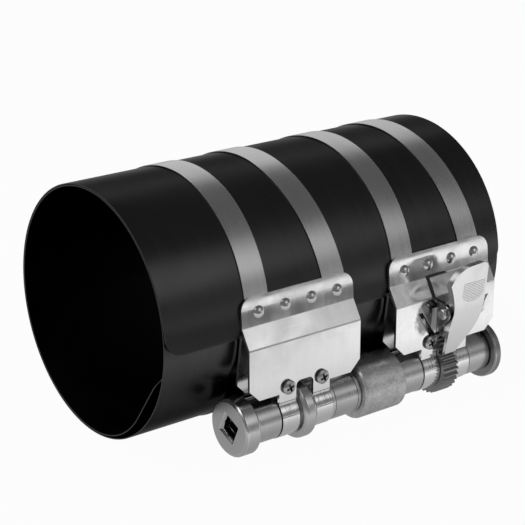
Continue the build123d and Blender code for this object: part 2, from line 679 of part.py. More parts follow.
def engaged_angle():
    """Angle round the spool at which the nose sits once the pawl has dropped in."""
    nose = nose_point()
    reach = hypot(nose[0] - PIN[0], nose[1] - PIN_Z)
    at_rest = degrees(atan2(nose[1] - PIN_Z, nose[0] - PIN[0]))
    engaged = polar(PIN, reach, at_rest + PAWL_ENGAGE_TURN)
    return degrees(atan2(engaged[1] - SPOOL_Z, engaged[0] - SPOOL_Y))


def pawl_side(depth):
    """One face of the pawl's web in Y-Z, at a depth behind its front, from nose to pad."""
    wedge = engaged_angle() - PAWL_ENGAGE_TURN
    shank = wedge - NOSE_HALF_WEDGE
    nose = nose_point()
    foot = polar(nose, (PAWL_T - depth) / sin(radians(2 * NOSE_HALF_WEDGE)), wedge + NOSE_HALF_WEDGE)
    heel = polar(nose, PAWL_T / sin(radians(2 * NOSE_HALF_WEDGE)), wedge + NOSE_HALF_WEDGE)
    knee = (heel[0] + (KNEE_Z - heel[1]) / tan(radians(shank)), KNEE_Z)
    centre = polar(knee, KNEE_R, shank - 90)
    radius = KNEE_R - depth
    bend_start = polar(centre, radius, shank + 90)
    bend_end = polar(centre, radius, PAD_LEAN + 90)
    rise = (PIN_Z + PAD_CROWN_RIGHT[1] + RIM_DEPTH - bend_end[1]) / sin(radians(PAD_LEAN))
    return [
        Line(foot, bend_start),
        arc(centre, radius, shank + 90, PAD_LEAN + 90),
        Line(bend_end, polar(bend_end, rise, PAD_LEAN)),
    ]


def pawl_layer(front, back):
    """Slice of the pawl between two depths behind its front face, wider than the pawl."""
    near = pawl_side(front)
    far = pawl_side(back)
    ends = [Line(near[0] @ 0, far[0] @ 0), Line(near[-1] @ 1, far[-1] @ 1)]
    return prism(outline_of(near + far + ends), WHEEL_X - BRACKET_W, WHEEL_X + BRACKET_W)


def at(point):
    """Place in X-Z of a point counted from the wheel's middle and the pawl's pin."""
    return WHEEL_X + point[0], PIN_Z + point[1]


def pawl_front():
    """Front outline of the pawl in X-Z: narrow tip, waist and wide rounded thumb pad."""
    tip_left = (WHEEL_X + TIP_LEFT, nose_point()[1] - PAWL_T)
    tip_right = (WHEEL_X + TIP_RIGHT, tip_left[1])
    tip_corner = at((TIP_RIGHT, TIP_RISE))
    return outline_of([
        Line(tip_left, at(SHANK_LEFT)),
        ThreePointArc(at(SHANK_LEFT), at(SHANK_LEFT_BULGE), at(WAIST)),
        ThreePointArc(at(WAIST), at(WAIST_HOLLOW), at(PAD_LEFT)),
        ThreePointArc(at(PAD_LEFT), at(PAD_LEFT_CURVE), at(PAD_CROWN_LEFT)),
        Line(at(PAD_CROWN_LEFT), at(PAD_CROWN_RIGHT)),
        ThreePointArc(at(PAD_CROWN_RIGHT), at(PAD_CORNER), at(PAD_RIGHT)),
        Line(at(PAD_RIGHT), at(SHOULDER)),
        ThreePointArc(at(SHOULDER), at(SHANK_RIGHT_BULGE), at(SHANK_RIGHT)),
        Line(at(SHANK_RIGHT), tip_corner),
        Line(tip_corner, tip_right),
        Line(tip_right, tip_left),
    ])


def make_pawl():
    """Thumb pawl pressed as a shallow pan, with a lobe each side for the pin."""
    front = pawl_front()
    body = pawl_layer(0, RIM_DEPTH) & front_prism(front, 0, -BIG)
    inside = front_prism(offset(front, amount=-PAWL_T), 0, -BIG)
    hollow = pawl_layer(PAWL_T, 2 * RIM_DEPTH)
    body -= hollow & inside
    rim_end = PIN_Z + RIM_END_RISE
    body -= hollow & (Pos(PAWL_MIDDLE, 0, rim_end - BIG / 2) * Box(BIG, BIG, BIG))
    web = pawl_side(PAWL_T / 2)
    root = [(edge_y(web, z), z) for z in (PIN_Z - LOBE_ROOT, PIN_Z + LOBE_ROOT)]
    lobe = make_hull((Pos(*PIN) * Circle(LOBE_R)).edges() + Line(*root).edges())
    body += prism(lobe, PAWL_NEAR, PAWL_NEAR + PAWL_T)
    body += prism(lobe, PAWL_FAR - PAWL_T, PAWL_FAR)
    hole = PIN_R + PIN_RUNNING
    return body - cylinder_x(PIN, hole, PAWL_NEAR - CUT_OVER, PAWL_FAR + CUT_OVER)


def edge_y(side, z):
    """Y of a face of the web at a height, on the straight run that holds that height."""
    run = side[0] if z < KNEE_Z else side[-1]
    start, end = run @ 0, run @ 1
    return start.X + (z - start.Y) * (end.X - start.X) / (end.Y - start.Y)


def make_pin():
    """Pin through both ears, with a formed head at each end."""
    outer, _ = ear_faces()
    far = 2 * PAWL_MIDDLE - outer
    head = cylinder_x(PIN, PIN_HEAD_R, far, far + PIN_HEAD_L)
    rim = head.edges().filter_by(GeomType.CIRCLE).sort_by(Axis.X)[-1]
    head = fillet(rim, PIN_HEAD_EDGE_R)
    shank = cylinder_x(PIN, PIN_R, outer, far)
    return shank + head + mirror(head, about=Plane.YZ.offset(PAWL_MIDDLE))


def wire_run(points):
    """Round wire along straight runs, with a ball at each point but the last."""
    ball = Sphere(SPRING_WIRE / 2 + SPRING_JOINT_PROUD)
    run = Pos(*points[0]) * ball
    for start, end in zip(points, points[1:]):
        way = Vector(*end) - Vector(*start)
        run += extrude(Plane(origin=start, z_dir=way) * Circle(SPRING_WIRE / 2), amount=way.length)
    for corner in points[1:-1]:
        run += Pos(*corner) * ball
    return run


def make_spring():
    """Torsion spring coiled on the pin: one leg under the thumb pad, one on the bracket."""
    mean_r = PIN_R + SPRING_BORE_GAP + SPRING_WIRE / 2
    pitch = SPRING_WIRE + SPRING_TURN_GAP
    leg_angle = 180 - SPRING_LEG_LEAN
    turns = SPRING_WHOLE_TURNS + (360 - leg_angle) / 360
    x0 = PAWL_NEAR + PAWL_T + SPRING_SIDE_GAP
    x1 = x0 + pitch * turns
    helix = Helix(pitch, pitch * turns, mean_r, lefthand=True)
    coil = sweep(Plane(origin=helix @ 0, z_dir=helix % 0) * Circle(SPRING_WIRE / 2), path=helix)
    coil = Plane(origin=(x0, *PIN), x_dir=(0, 1, 0), z_dir=(1, 0, 0)) * coil
    leg_start = polar(PIN, mean_r, leg_angle)
    leg_end = polar(leg_start, SPRING_PAD_LEG, 90 - SPRING_LEG_LEAN)
    pad_leg = wire_run([(x1, *leg_start), (x1, *leg_end)])
    outer, _ = ear_faces()
    on_slope = strip_side(-SPRING_WIRE / 2 - SPRING_SEAT_GAP)[1]
    slope_top, slope_foot = on_slope @ 0, on_slope @ 1
    rear_y = PIN[0] + mean_r
    seat_leg = wire_run([
        (x0, rear_y, PIN_Z),
        (x0, rear_y, PIN_Z + SPRING_LEAD),
        (x0, slope_foot.X, EAR_TOP_Z + SPRING_SILL_RISE),
        (outer - SPRING_WIRE, slope_foot.X, slope_foot.Y),
        (WHEEL_X + SPRING_CORNER_X, slope_top.X, slope_top.Y),
        (WHEEL_X + SPRING_END_X, slope_top.X, slope_top.Y),
    ])
    return coil + pad_leg + seat_leg


def build():
    """All pieces by node name."""
    pieces = {"sleeve": make_sleeve()}
    for i in range(4):
        pieces[f"band_{i + 1}"] = make_band(i)
        pieces[f"band_coil_{i + 1}"] = make_coil(i)
    pieces["left_bracket"] = make_bracket(0)
    pieces["right_bracket"] = make_right_bracket()
    for i, side in enumerate(("left", "right")):
        pieces[f"{side}_bracket_rivets"] = make_rivets(i)
        pieces[f"{side}_clamp_screws"] = make_screws(i)
        pieces[f"{side}_clamp_nuts"] = make_nuts(i)
    pieces["spool_shaft"] = make_spool_shaft()
    pieces["drive_head"] = make_drive_head()
    ring = (NOTCH_X[0] - RING_W / 2, NOTCH_X[0] + RING_W / 2)
    flange = (END_FLANGE_X, END_FLANGE_X + END_FLANGE_L)
    pieces["ring_collar"] = make_collar(RING_R, *ring, RING_EDGE)
    pieces["centre_collar"] = make_collar(CENTRE_R, CENTRE_X, CENTRE_END_X, CENTRE_EDGE)
    pieces["end_flange"] = make_collar(END_FLANGE_R, *flange, END_FLANGE_EDGE)
    pieces["ratchet_wheel"] = make_ratchet_wheel()
    pieces["ratchet_pawl"] = make_pawl()
    pieces["pawl_pin"] = make_pin()
    pieces["pawl_spring"] = make_spring()
    return pieces


os.makedirs("parts", exist_ok=True)
for name, piece in build().items():
    export_step(piece, f"parts/{name}.step")
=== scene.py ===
"""Looks of a ratchet piston ring compressor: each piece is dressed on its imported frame.

The row frame is in metres: +X runs along the sleeve from the drive end, +Z is up, and the
brackets and the spool are on the -Y side. Sizes below are written in millimetres times MM,
and a field that holds an angle is in degrees.
"""
import json
import logging
import math
from collections.abc import Callable, Sequence
from dataclasses import dataclass, replace
from enum import Enum
from functools import reduce
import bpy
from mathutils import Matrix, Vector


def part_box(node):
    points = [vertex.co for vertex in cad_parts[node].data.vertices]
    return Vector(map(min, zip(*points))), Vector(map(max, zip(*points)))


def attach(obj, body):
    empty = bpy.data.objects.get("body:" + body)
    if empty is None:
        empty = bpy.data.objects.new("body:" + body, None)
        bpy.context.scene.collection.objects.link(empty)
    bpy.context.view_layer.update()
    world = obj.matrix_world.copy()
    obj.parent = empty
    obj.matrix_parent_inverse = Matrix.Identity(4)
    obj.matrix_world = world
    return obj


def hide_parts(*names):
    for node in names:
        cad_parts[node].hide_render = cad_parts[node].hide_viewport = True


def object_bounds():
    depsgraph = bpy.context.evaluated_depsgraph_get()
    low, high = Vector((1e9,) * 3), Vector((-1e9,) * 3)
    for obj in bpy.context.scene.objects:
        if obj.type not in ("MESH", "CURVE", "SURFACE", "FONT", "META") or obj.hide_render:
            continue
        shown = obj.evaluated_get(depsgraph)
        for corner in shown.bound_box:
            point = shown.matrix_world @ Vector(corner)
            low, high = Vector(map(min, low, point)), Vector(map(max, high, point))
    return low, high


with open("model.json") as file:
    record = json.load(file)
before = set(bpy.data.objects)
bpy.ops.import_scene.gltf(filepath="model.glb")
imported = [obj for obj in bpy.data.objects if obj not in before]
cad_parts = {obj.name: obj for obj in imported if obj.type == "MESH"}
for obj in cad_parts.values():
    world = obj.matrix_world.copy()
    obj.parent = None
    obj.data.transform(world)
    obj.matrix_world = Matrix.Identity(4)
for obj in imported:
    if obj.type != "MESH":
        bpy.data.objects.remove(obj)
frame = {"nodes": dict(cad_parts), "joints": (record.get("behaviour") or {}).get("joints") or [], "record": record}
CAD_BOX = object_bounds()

from types import SimpleNamespace
from typing import Any

import bmesh
import bpy
from mathutils import Matrix, Vector

Flat = tuple[float, float]
Place = tuple[float, float, float]
Material = bpy.types.Material
Mesh = bpy.types.Mesh
Piece = bpy.types.Object
Socket = bpy.types.NodeSocket
Tree = bpy.types.NodeTree

LOG = logging.getLogger("compressor")
MM = 0.001
MERGE_GAP = 1e-6
# A face whose normal has this share along an axis counts as facing it.
FACING = 0.6
# Shading angles of the strips, the screws and the ridges, in degrees.
STRIP_SHARP, SCREW_SHARP, RIDGE_SHARP = 12.0, 20.0, 60.0
# The attribute that holds the distance along and across a strip.
STRIP_PLACE = "strip"
# How the grain is drawn out: along a strip, up a plate, and round the spool in metres per radian.
STRIP_GRAIN = (0.02, 1.0, 1.0)
UPRIGHT_GRAIN = (1.0, 0.03, 0.03)
TURNED_GRAIN = 4e-5

JOINTS = {joint["name"]: joint for joint in frame["joints"]}
BODY_OF = {node: body for body, nodes in frame["record"]["behaviour"]["bodies"].items() for node in nodes}
SPOOL_Y, SPOOL_Z = JOINTS["spool_turn"]["pos_m"][1:]


class Kind(Enum):
    """Group inputs that are no plain number."""

    GEOMETRY = "NodeSocketGeometry"
    MATERIAL = "NodeSocketMaterial"
    OBJECT = "NodeSocketObject"
    VECTOR = "NodeSocketVector"


class Maker(Enum):
    """What a node group makes: its tree type, and its output's name and type."""

    SHAPE = ("GeometryNodeTree", "Mesh", "NodeSocketGeometry")
    MARKS = ("ShaderNodeTree", "Mask", "NodeSocketFloat")


class Grain(Enum):
    """Which way the marks of a finish run."""

    ALONG_STRIP = "along the strip"
    TURNED = "round the spool"
    UPRIGHT = "up the plate"
    EVEN = "no direction"


class Graph:
    """Writes nodes into one node tree and joins their sockets."""

    def __init__(self, tree: Tree) -> None:
        """Keeps the tree that the nodes go into."""
        self.tree = tree

    def feed(self, socket: Socket, value: Any) -> None:
        """Links a socket to another one, or sets its value.

        Args:
            socket: the input.
            value: a socket, or a value that is the same everywhere.
        """
        if isinstance(value, Socket):
            self.tree.links.new(value, socket)
        else:
            socket.default_value = value

    def node(self, kind: str, inputs: dict[str | int, Any] | None = None, **settings: Any) -> bpy.types.Node:
        """Adds a node.

        Args:
            kind: the node's type name.
            inputs: what feeds its sockets, by name or place.
            settings: the node's own options.

        Returns:
            The new node.
        """
        made = self.tree.nodes.new(kind)
        for key, value in settings.items():
            setattr(made, key, value)
        for key, value in (inputs or {}).items():
            self.feed(made.inputs[key], value)
        return made

    def out(self, kind: str, inputs: dict[str | int, Any] | None = None, **settings: Any) -> Socket:
        """Adds a node and returns its first output."""
        return self.node(kind, inputs, **settings).outputs[0]

    def shape(self, kind: str, inputs: dict[str | int, Any] | None = None, **settings: Any) -> Socket:
        """Adds a geometry node, named without its prefix, and returns its first output."""
        return self.out("GeometryNode" + kind, inputs, **settings)

    def math(self, operation: str, *values: Any, clamp: bool = False) -> Socket:
        """Adds a Math node and returns its result, kept between 0 and 1 if it is clamped."""
        return self.out("ShaderNodeMath", dict(enumerate(values)), operation=operation, use_clamp=clamp)

    def plus(self, *values: Any) -> Socket:
        """Sum of the values."""
        return reduce(lambda total, value: self.math("ADD", total, value), values)

    def minus(self, value: Any, less: Any) -> Socket:
        """Difference of two values."""
        return self.math("SUBTRACT", value, less)

    def times(self, *values: Any) -> Socket:
        """Product of the values."""
        return reduce(lambda product, value: self.math("MULTIPLY", product, value), values)

    def vector(self, operation: str, *values: Any) -> Socket:
        """Adds a Vector Math node and returns its vector."""
        return self.out("ShaderNodeVectorMath", dict(enumerate(values)), operation=operation)

    def axes(self, vector: Socket) -> tuple[Socket, Socket, Socket]:
        """X, Y and Z of a vector."""
        return tuple(self.node("ShaderNodeSeparateXYZ", {0: vector}).outputs)

    def joined(self, x: Any, y: Any, z: Any) -> Socket:
        """Vector from its X, Y and Z."""
        return self.out("ShaderNodeCombineXYZ", {0: x, 1: y, 2: z})

    def either(self, switch: Socket, yes: Any, no: Any) -> Socket:
        """One number or the other, by a switch."""
        return self.shape("Switch", {"Switch": switch, "False": no, "True": yes}, input_type="FLOAT")

    def noise(self, place: Socket, scale: Any, **numbers: float) -> Socket:
        """Noise at a place, with the node's further numbers by name."""
        return self.out("ShaderNodeTexNoise", {"Vector": place, "Scale": scale, **numbers})

    def grey(self, tone: Socket) -> Socket:
        """Neutral colour of a tone."""
        return self.out("ShaderNodeCombineColor", {0: tone, 1: tone, 2: tone})

    def here(self) -> Socket:
        """Place on the piece, in metres."""
        return self.node("ShaderNodeTexCoord").outputs["Object"]

    def ramp(self, value: Any, start: Any, end: Any, low: float = 0.0, high: float = 1.0) -> Socket:
        """Moves a value from one range to another and clamps it.

        Args:
            value: the socket to move.
            start: the value that gives low.
            end: the value that gives high.
            low: the least result.
            high: the most result.

        Returns:
            The result's socket.
        """
        return self.out("ShaderNodeMapRange", {0: value, 1: start, 2: end, 3: low, 4: high}, clamp=True)

    def together(self, *shapes: Socket) -> Socket:
        """Joins geometries into one.

        Args:
            shapes: the geometries.

        Returns:
            The joined geometry.
        """
        union = self.node("GeometryNodeJoinGeometry")
        for shape in shapes:
            self.feed(union.inputs[0], shape)
        return union.outputs[0]

    def close(self, result: Socket) -> Tree:
        """Feeds the group's output and returns the tree."""
        self.feed(self.tree.nodes["Group Output"].inputs[0], result)
        return self.tree

    def dressed(self, shape: Socket, face: Socket, other: Socket | None = None,
                chosen: Socket | None = None) -> Tree:
        """Ends a geometry tree: its instances are made real and its finishes are set.

        Args:
            shape: the geometry.
            face: the finish of its faces.
            other: a second finish, where some faces have one.
            chosen: which faces have it.

        Returns:
            The finished tree.
        """
        real = self.shape("RealizeInstances", {"Geometry": shape})
        done = self.shape("SetMaterial", {"Geometry": real, "Material": face})
        if other is not None:
            done = self.shape("SetMaterial", {"Geometry": done, "Selection": chosen, "Material": other})
        return self.close(done)


def new_tree(maker: Maker, name: str, **inputs: Kind | float) -> tuple[Graph, SimpleNamespace]:
    """Starts a node group with named inputs and one output.

    Args:
        maker: what the group makes.
        name: the group's name.
        inputs: each input's kind, or the number it starts with, with underscores for spaces.

    Returns:
        The graph, and the inputs' sockets by name.
    """
    tree_type, output, output_type = maker.value
    tree = bpy.data.node_groups.new(name, tree_type)
    for key, given in inputs.items():
        number = "NodeSocketInt" if isinstance(given, int) else "NodeSocketFloat"
        plain = not isinstance(given, Kind)
        item = tree.interface.new_socket(
            key.replace("_", " ").capitalize(), in_out="INPUT", socket_type=number if plain else given.value)
        if plain:
            item.default_value = given
    tree.interface.new_socket(output, in_out="OUTPUT", socket_type=output_type)
    graph = Graph(tree)
    source = graph.node("NodeGroupInput")
    graph.node("NodeGroupOutput")
    return graph, SimpleNamespace(**dict(zip(inputs, source.outputs)))


def placed(name: str, mesh: Mesh) -> Piece:
    """Puts a mesh into the scene at the origin, under one name with its object.

    Args:
        name: the name of the object and the mesh.
        mesh: the mesh.

    Returns:
        The object.
    """
    mesh.name = name
    made = bpy.data.objects.new(name, mesh)
    bpy.context.scene.collection.objects.link(made)
    return made


def baked(start: Piece) -> Mesh:
    """Turns an object with modifiers into a plain mesh and removes the object.

    Args:
        start: the object.

    Returns:
        The mesh with the modifiers applied.
    """
    graph = bpy.context.evaluated_depsgraph_get()
    mesh = bpy.data.meshes.new_from_object(start.evaluated_get(graph))
    bpy.data.objects.remove(start)
    return mesh


def kept(shape: bmesh.types.BMesh, name: str) -> Mesh:
    """Turns an edited shape into a mesh and frees it.

    Args:
        shape: the shape.
        name: the mesh's name.

    Returns:
        The mesh.
    """
    mesh = bpy.data.meshes.new(name)
    shape.to_mesh(mesh)
    shape.free()
    return mesh


def grow(name: str, tree: Tree, seed: Mesh | None = None, **values: Any) -> Piece:
    """Runs a geometry tree once and keeps its result as a plain mesh.

    Args:
        name: the finished piece's name.
        tree: the geometry tree.
        seed: the mesh that the tree starts from, if it needs one.
        values: the tree's inputs, with underscores for the spaces in their names.

    Returns:
        The piece, with no modifier on it.
    """
    start = placed(name + "_seed", seed or bpy.data.meshes.new(name))
    modifier = start.modifiers.new("grow", "NODES")
    modifier.node_group = tree
    for item in tree.interface.items_tree:
        key = item.name.replace(" ", "_").lower()
        if item.in_out == "INPUT" and key in values:
            modifier[item.identifier] = values[key]
    return placed(name, baked(start))


def smooth(piece: Piece, angle: float = 32.0) -> Piece:
    """Shades a piece smooth, apart from its sharp edges.

    Args:
        piece: the piece.
        angle: the angle between two faces, in degrees, from which their edge is sharp.

    Returns:
        The piece.
    """
    piece.data.polygons.foreach_set("use_smooth", [True] * len(piece.data.polygons))
    piece.data.set_sharp_from_angle(angle=math.radians(angle))
    return piece


def settle(piece: Piece, node: str) -> Piece:
    """Seats a finished piece on the body of the node that it stands for, and hides that node.

    Args:
        piece: the finished piece.
        node: the CAD node that it replaces.

    Returns:
        The piece.
    """
    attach(piece, BODY_OF[node])
    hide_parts(node)
    LOG.info("%s: %d faces, rides on %s", piece.name, len(piece.data.polygons), BODY_OF[node])
    return piece


def lathe(name: str, side: Sequence[Flat], steps: int = 48) -> Mesh:
    """Solid turned round Z from its side, given as radius and height from the bottom up.

    Args:
        name: the mesh's name.
        side: points of the side; the first and the last are closed on the axis.
        steps: how many facets go round.

    Returns:
        The closed mesh.
    """
    shape = bmesh.new()
    rings = []
    for radius, height in side:
        turns = [math.tau * i / steps for i in range(steps if radius > MERGE_GAP else 1)]
        rings.append([shape.verts.new((radius * math.cos(t), radius * math.sin(t), height)) for t in turns])
    for lower, upper in zip(rings, rings[1:]):
        for i in range(steps):
            j = (i + 1) % steps
            corners = list(dict.fromkeys((
                lower[i % len(lower)], lower[j % len(lower)], upper[j % len(upper)], upper[i % len(upper)])))
            if len(corners) > 2:
                shape.faces.new(corners)
    for ring in (rings[0], rings[-1]):
        if len(ring) > 1:
            shape.faces.new(ring)
    bmesh.ops.recalc_face_normals(shape, faces=shape.faces)
    return kept(shape, name)


def dome(radius: float, rise: float, top: float, steps: int = 12) -> list[Flat]:
    """Side of a domed head from its rim to its crown, as lathe takes it.

    Args:
        radius: the radius of the rim.
        rise: how far the crown stands above the rim.
        top: the crown's height.
        steps: how many facets run up the dome.

    Returns:
        The points.
    """
    ball = (radius ** 2 + rise ** 2) / (2 * rise)
    spread = math.asin(radius / ball)
    turns = [spread * (1 - i / steps) for i in range(steps + 1)]
    return [(ball * math.sin(turn), top - ball + ball * math.cos(turn)) for turn in turns]


class Route:
    """Line in the Y-Z plane, built from arcs and straight runs that follow one another."""

    # Degrees from one point of an arc to the next.
    STEP = 2.0

    def __init__(self) -> None:
        """Starts with no points."""
        self.points: list[Flat] = []

    @staticmethod
    def polar(centre: Flat, radius: float, angle: float) -> Flat:
        """Point at a distance from a centre, at an angle in degrees from +Y towards +Z."""
        turn = math.radians(angle)
        return centre[0] + radius * math.cos(turn), centre[1] + radius * math.sin(turn)

    def arc(self, centre: Flat, radius: float, start: float, end: float,
            end_radius: float | None = None) -> "Route":
        """Adds an arc.

        Args:
            centre: the arc's centre.
            radius: its radius at the start.
            start: the first angle in degrees.
            end: the last angle in degrees.
            end_radius: the radius at the end, where it winds in or out.

        Returns:
            The route itself.
        """
        last = radius if end_radius is None else end_radius
        count = max(2, round(abs(end - start) / self.STEP))
        for i in range(bool(self.points), count + 1):
            share = i / count
            turn = start + (end - start) * share
            self.points.append(self.polar(centre, radius + (last - radius) * share, turn))
        return self

    def line(self, stop: Flat) -> "Route":
        """Adds a straight run to a stop and returns the route."""
        self.points.append(stop)
        return self

    def mesh(self, name: str) -> Mesh:
        """Edge chain through the route's points, at X = 0.

        Args:
            name: the mesh's name.

        Returns:
            The mesh.
        """
        made = bpy.data.meshes.new(name)
        verts = [(0.0, y, z) for y, z in self.points]
        made.from_pydata(verts, [(i, i + 1) for i in range(len(verts) - 1)], [])
        return made


class Trees:
    """Geometry trees of the pieces that repeat or follow a path."""

    def __init__(self) -> None:
        """Builds each tree once."""
        self.strip = self.strip_tree()
        self.row = self.row_tree()
        self.wheel = self.wheel_tree()
        self.ridges = self.ridge_tree()

    @staticmethod
    def strip_tree() -> Tree:
        """Strip of sheet metal bent along a path, with eased edges and round corners.

        Returns:
            The tree; it stores the distance along and across the strip for the grain.
        """
        g, given = new_tree(
            Maker.SHAPE, "strip on a path", path=Kind.GEOMETRY, width=10.0 * MM, thickness=0.4 * MM,
            step=0.6 * MM, edge_radius=0.1 * MM, corner_radius=0.0, middle=0.0, drift=0.0, drift_start=0.0,
            drift_low=0.0, drift_end=1.0, lift=0.0, lift_along=16.0 * MM, lift_across=26.0 * MM,
            lift_curve=1.6, lip=0.0, lip_along=4.0 * MM, face=Kind.MATERIAL, edge=Kind.MATERIAL)
        path = g.shape("MeshToCurve", {"Mesh": given.path})
        path = g.shape("ResampleCurve", {"Curve": path, "Length": given.step}, mode="LENGTH")
        capture = g.node("GeometryNodeCaptureAttribute", {"Geometry": path}, domain="POINT")
        lengths = {"Along": "SplineParameter", "Total": "SplineLength"}
        for title in lengths:
            capture.capture_items.new("FLOAT", title)
        for title, source in lengths.items():
            g.feed(capture.inputs[title], g.node("GeometryNode" + source).outputs["Length"])
        section = g.shape("CurvePrimitiveQuadrilateral", {"Width": given.width, "Height": given.thickness})
        rounded = g.shape("FilletCurve", {
            "Curve": section, "Count": 2, "Radius": given.edge_radius}, mode="POLY")
        solid = g.shape("CurveToMesh", {
            "Curve": capture.outputs[0], "Profile Curve": rounded, "Fill Caps": True})
        along, total = (capture.outputs[title] for title in lengths)
        x, y, z = g.axes(g.shape("InputPosition"))
        near_end = g.math("MINIMUM", along, g.minus(total, along))
        into = g.math("MAXIMUM", 0.0, g.minus(given.corner_radius, near_end))
        level = g.minus(g.math("POWER", given.corner_radius, 2.0), g.math("POWER", into, 2.0))
        cut = g.minus(given.corner_radius, g.math("SQRT", g.math("MAXIMUM", 0.0, level)))
        across = g.times(x, g.minus(1.0, g.math("DIVIDE", cut, g.times(given.width, 0.5))))
        first = g.either(g.math("GREATER_THAN", z, 0.0), given.drift_start, given.drift_low)
        front = g.ramp(g.math("ABSOLUTE", z), first, given.drift_end)
        share = g.math("MAXIMUM", front, g.math("GREATER_THAN", y, 0.0))
        place = g.plus(across, g.plus(given.middle, g.times(given.drift, share)))
        sprung = g.times(g.ramp(along, given.lift_along, 0.0), g.ramp(place, given.lift_across, 0.0))
        corner = g.times(given.lift, g.math("POWER", sprung, given.lift_curve))
        lip = g.times(given.lip, g.math("POWER", g.ramp(along, given.lip_along, 0.0), 2.0))
        outward = g.vector("NORMALIZE", g.joined(0.0, y, z))
        lifted = g.out("ShaderNodeVectorMath", {0: outward, "Scale": g.plus(corner, lip)}, operation="SCALE")
        moved = g.shape("SetPosition", {
            "Geometry": solid, "Position": g.joined(place, y, z), "Offset": lifted})
        marked = g.shape("StoreNamedAttribute", {
            "Geometry": moved, "Name": STRIP_PLACE, "Value": g.joined(along, across, 0.0)},
            data_type="FLOAT_VECTOR", domain="POINT")
        sideways = g.math("ABSOLUTE", g.axes(g.shape("InputNormal"))[0])
        rim = g.math("GREATER_THAN", sideways, FACING)
        cap = g.math("LESS_THAN", near_end, MERGE_GAP)
        return g.dressed(marked, given.face, given.edge, g.math("MAXIMUM", rim, cap))

    @staticmethod
    def row_tree() -> Tree:
        """Copies of one fastener in a row along X, each turned to lean the same way.

        Returns:
            The tree; faces that don't face along the fastener have the second finish.
        """
        g, given = new_tree(
            Maker.SHAPE, "row of fasteners", one=Kind.GEOMETRY, count=2, first=Kind.VECTOR, pitch=10.0 * MM,
            lean=0.0, spin=0.0, face=Kind.MATERIAL, side=Kind.MATERIAL)
        row = g.shape("MeshLine", {
            "Count": given.count, "Start Location": given.first, "Offset": g.joined(given.pitch, 0.0, 0.0)},
            mode="OFFSET")
        spun = g.shape("Transform", {"Geometry": given.one, "Rotation": g.joined(0.0, 0.0, given.spin)})
        copies = g.shape("InstanceOnPoints", {
            "Points": row, "Instance": spun, "Rotation": g.joined(given.lean, 0.0, 0.0)})
        _, y, z = g.axes(g.shape("InputNormal"))
        outward = g.minus(g.times(z, g.math("COSINE", given.lean)), g.times(y, g.math("SINE", given.lean)))
        return g.dressed(copies, given.face, given.side, g.math("LESS_THAN", outward, FACING))

    @staticmethod
    def wheel_tree() -> Tree:
        """Ratchet wheel: a ring whose outline steps down into a valley between each two teeth.

        Returns:
            The tree; the valleys' angles are in radians, half of the mouth and half of the floor.
        """
        g, given = new_tree(
            Maker.SHAPE, "toothed wheel", teeth=30, tip_radius=10.7 * MM, root_radius=9.6 * MM, bore=7.2 * MM,
            valley=0.08, floor=0.015, first_valley=0.0, width=7.0 * MM, centre=Kind.VECTOR,
            face=Kind.MATERIAL)
        # Of each tooth's four corners, the two nearest to the middle one lie on the root circle.
        corners, inner, bore_steps = 4.0, 0.6, 96
        middle = (corners - 1.0) / 2.0
        ring = g.shape("CurvePrimitiveCircle", {
            "Resolution": g.times(given.teeth, corners), "Radius": given.tip_radius})
        index = g.shape("InputIndex")
        corner = g.math("MODULO", index, corners)
        tooth = g.math("FLOOR", g.math("DIVIDE", index, corners))
        low = g.math("COMPARE", corner, middle, inner)
        half = g.times(g.math("SIGN", g.minus(corner, middle)), g.either(low, given.floor, given.valley))
        radius = g.either(low, given.root_radius, given.tip_radius)
        turn = g.plus(given.first_valley, g.times(tooth, g.math("DIVIDE", math.tau, given.teeth)), half)
        outline = g.shape("SetPosition", {"Geometry": ring, "Position": g.joined(
            g.times(radius, g.math("COSINE", turn)), g.times(radius, g.math("SINE", turn)), 0.0)})
        hole = g.shape("CurvePrimitiveCircle", {"Resolution": bore_steps, "Radius": given.bore})
        face = g.shape("FillCurve", {"Curve": g.together(outline, hole)}, mode="NGONS")
        grown = g.shape("ExtrudeMesh", {
            "Mesh": face, "Offset": g.joined(0.0, 0.0, given.width), "Individual": False}, mode="FACES")
        back = g.shape("FlipFaces", {"Mesh": face})
        closed = g.shape("MergeByDistance", {"Geometry": g.together(grown, back), "Distance": MERGE_GAP})
        turned = g.shape("Transform", {"Geometry": closed, "Rotation": (math.pi / 2, 0.0, math.pi / 2)})
        seated = g.shape("Transform", {"Geometry": turned, "Translation": given.centre})
        return g.dressed(seated, given.face)

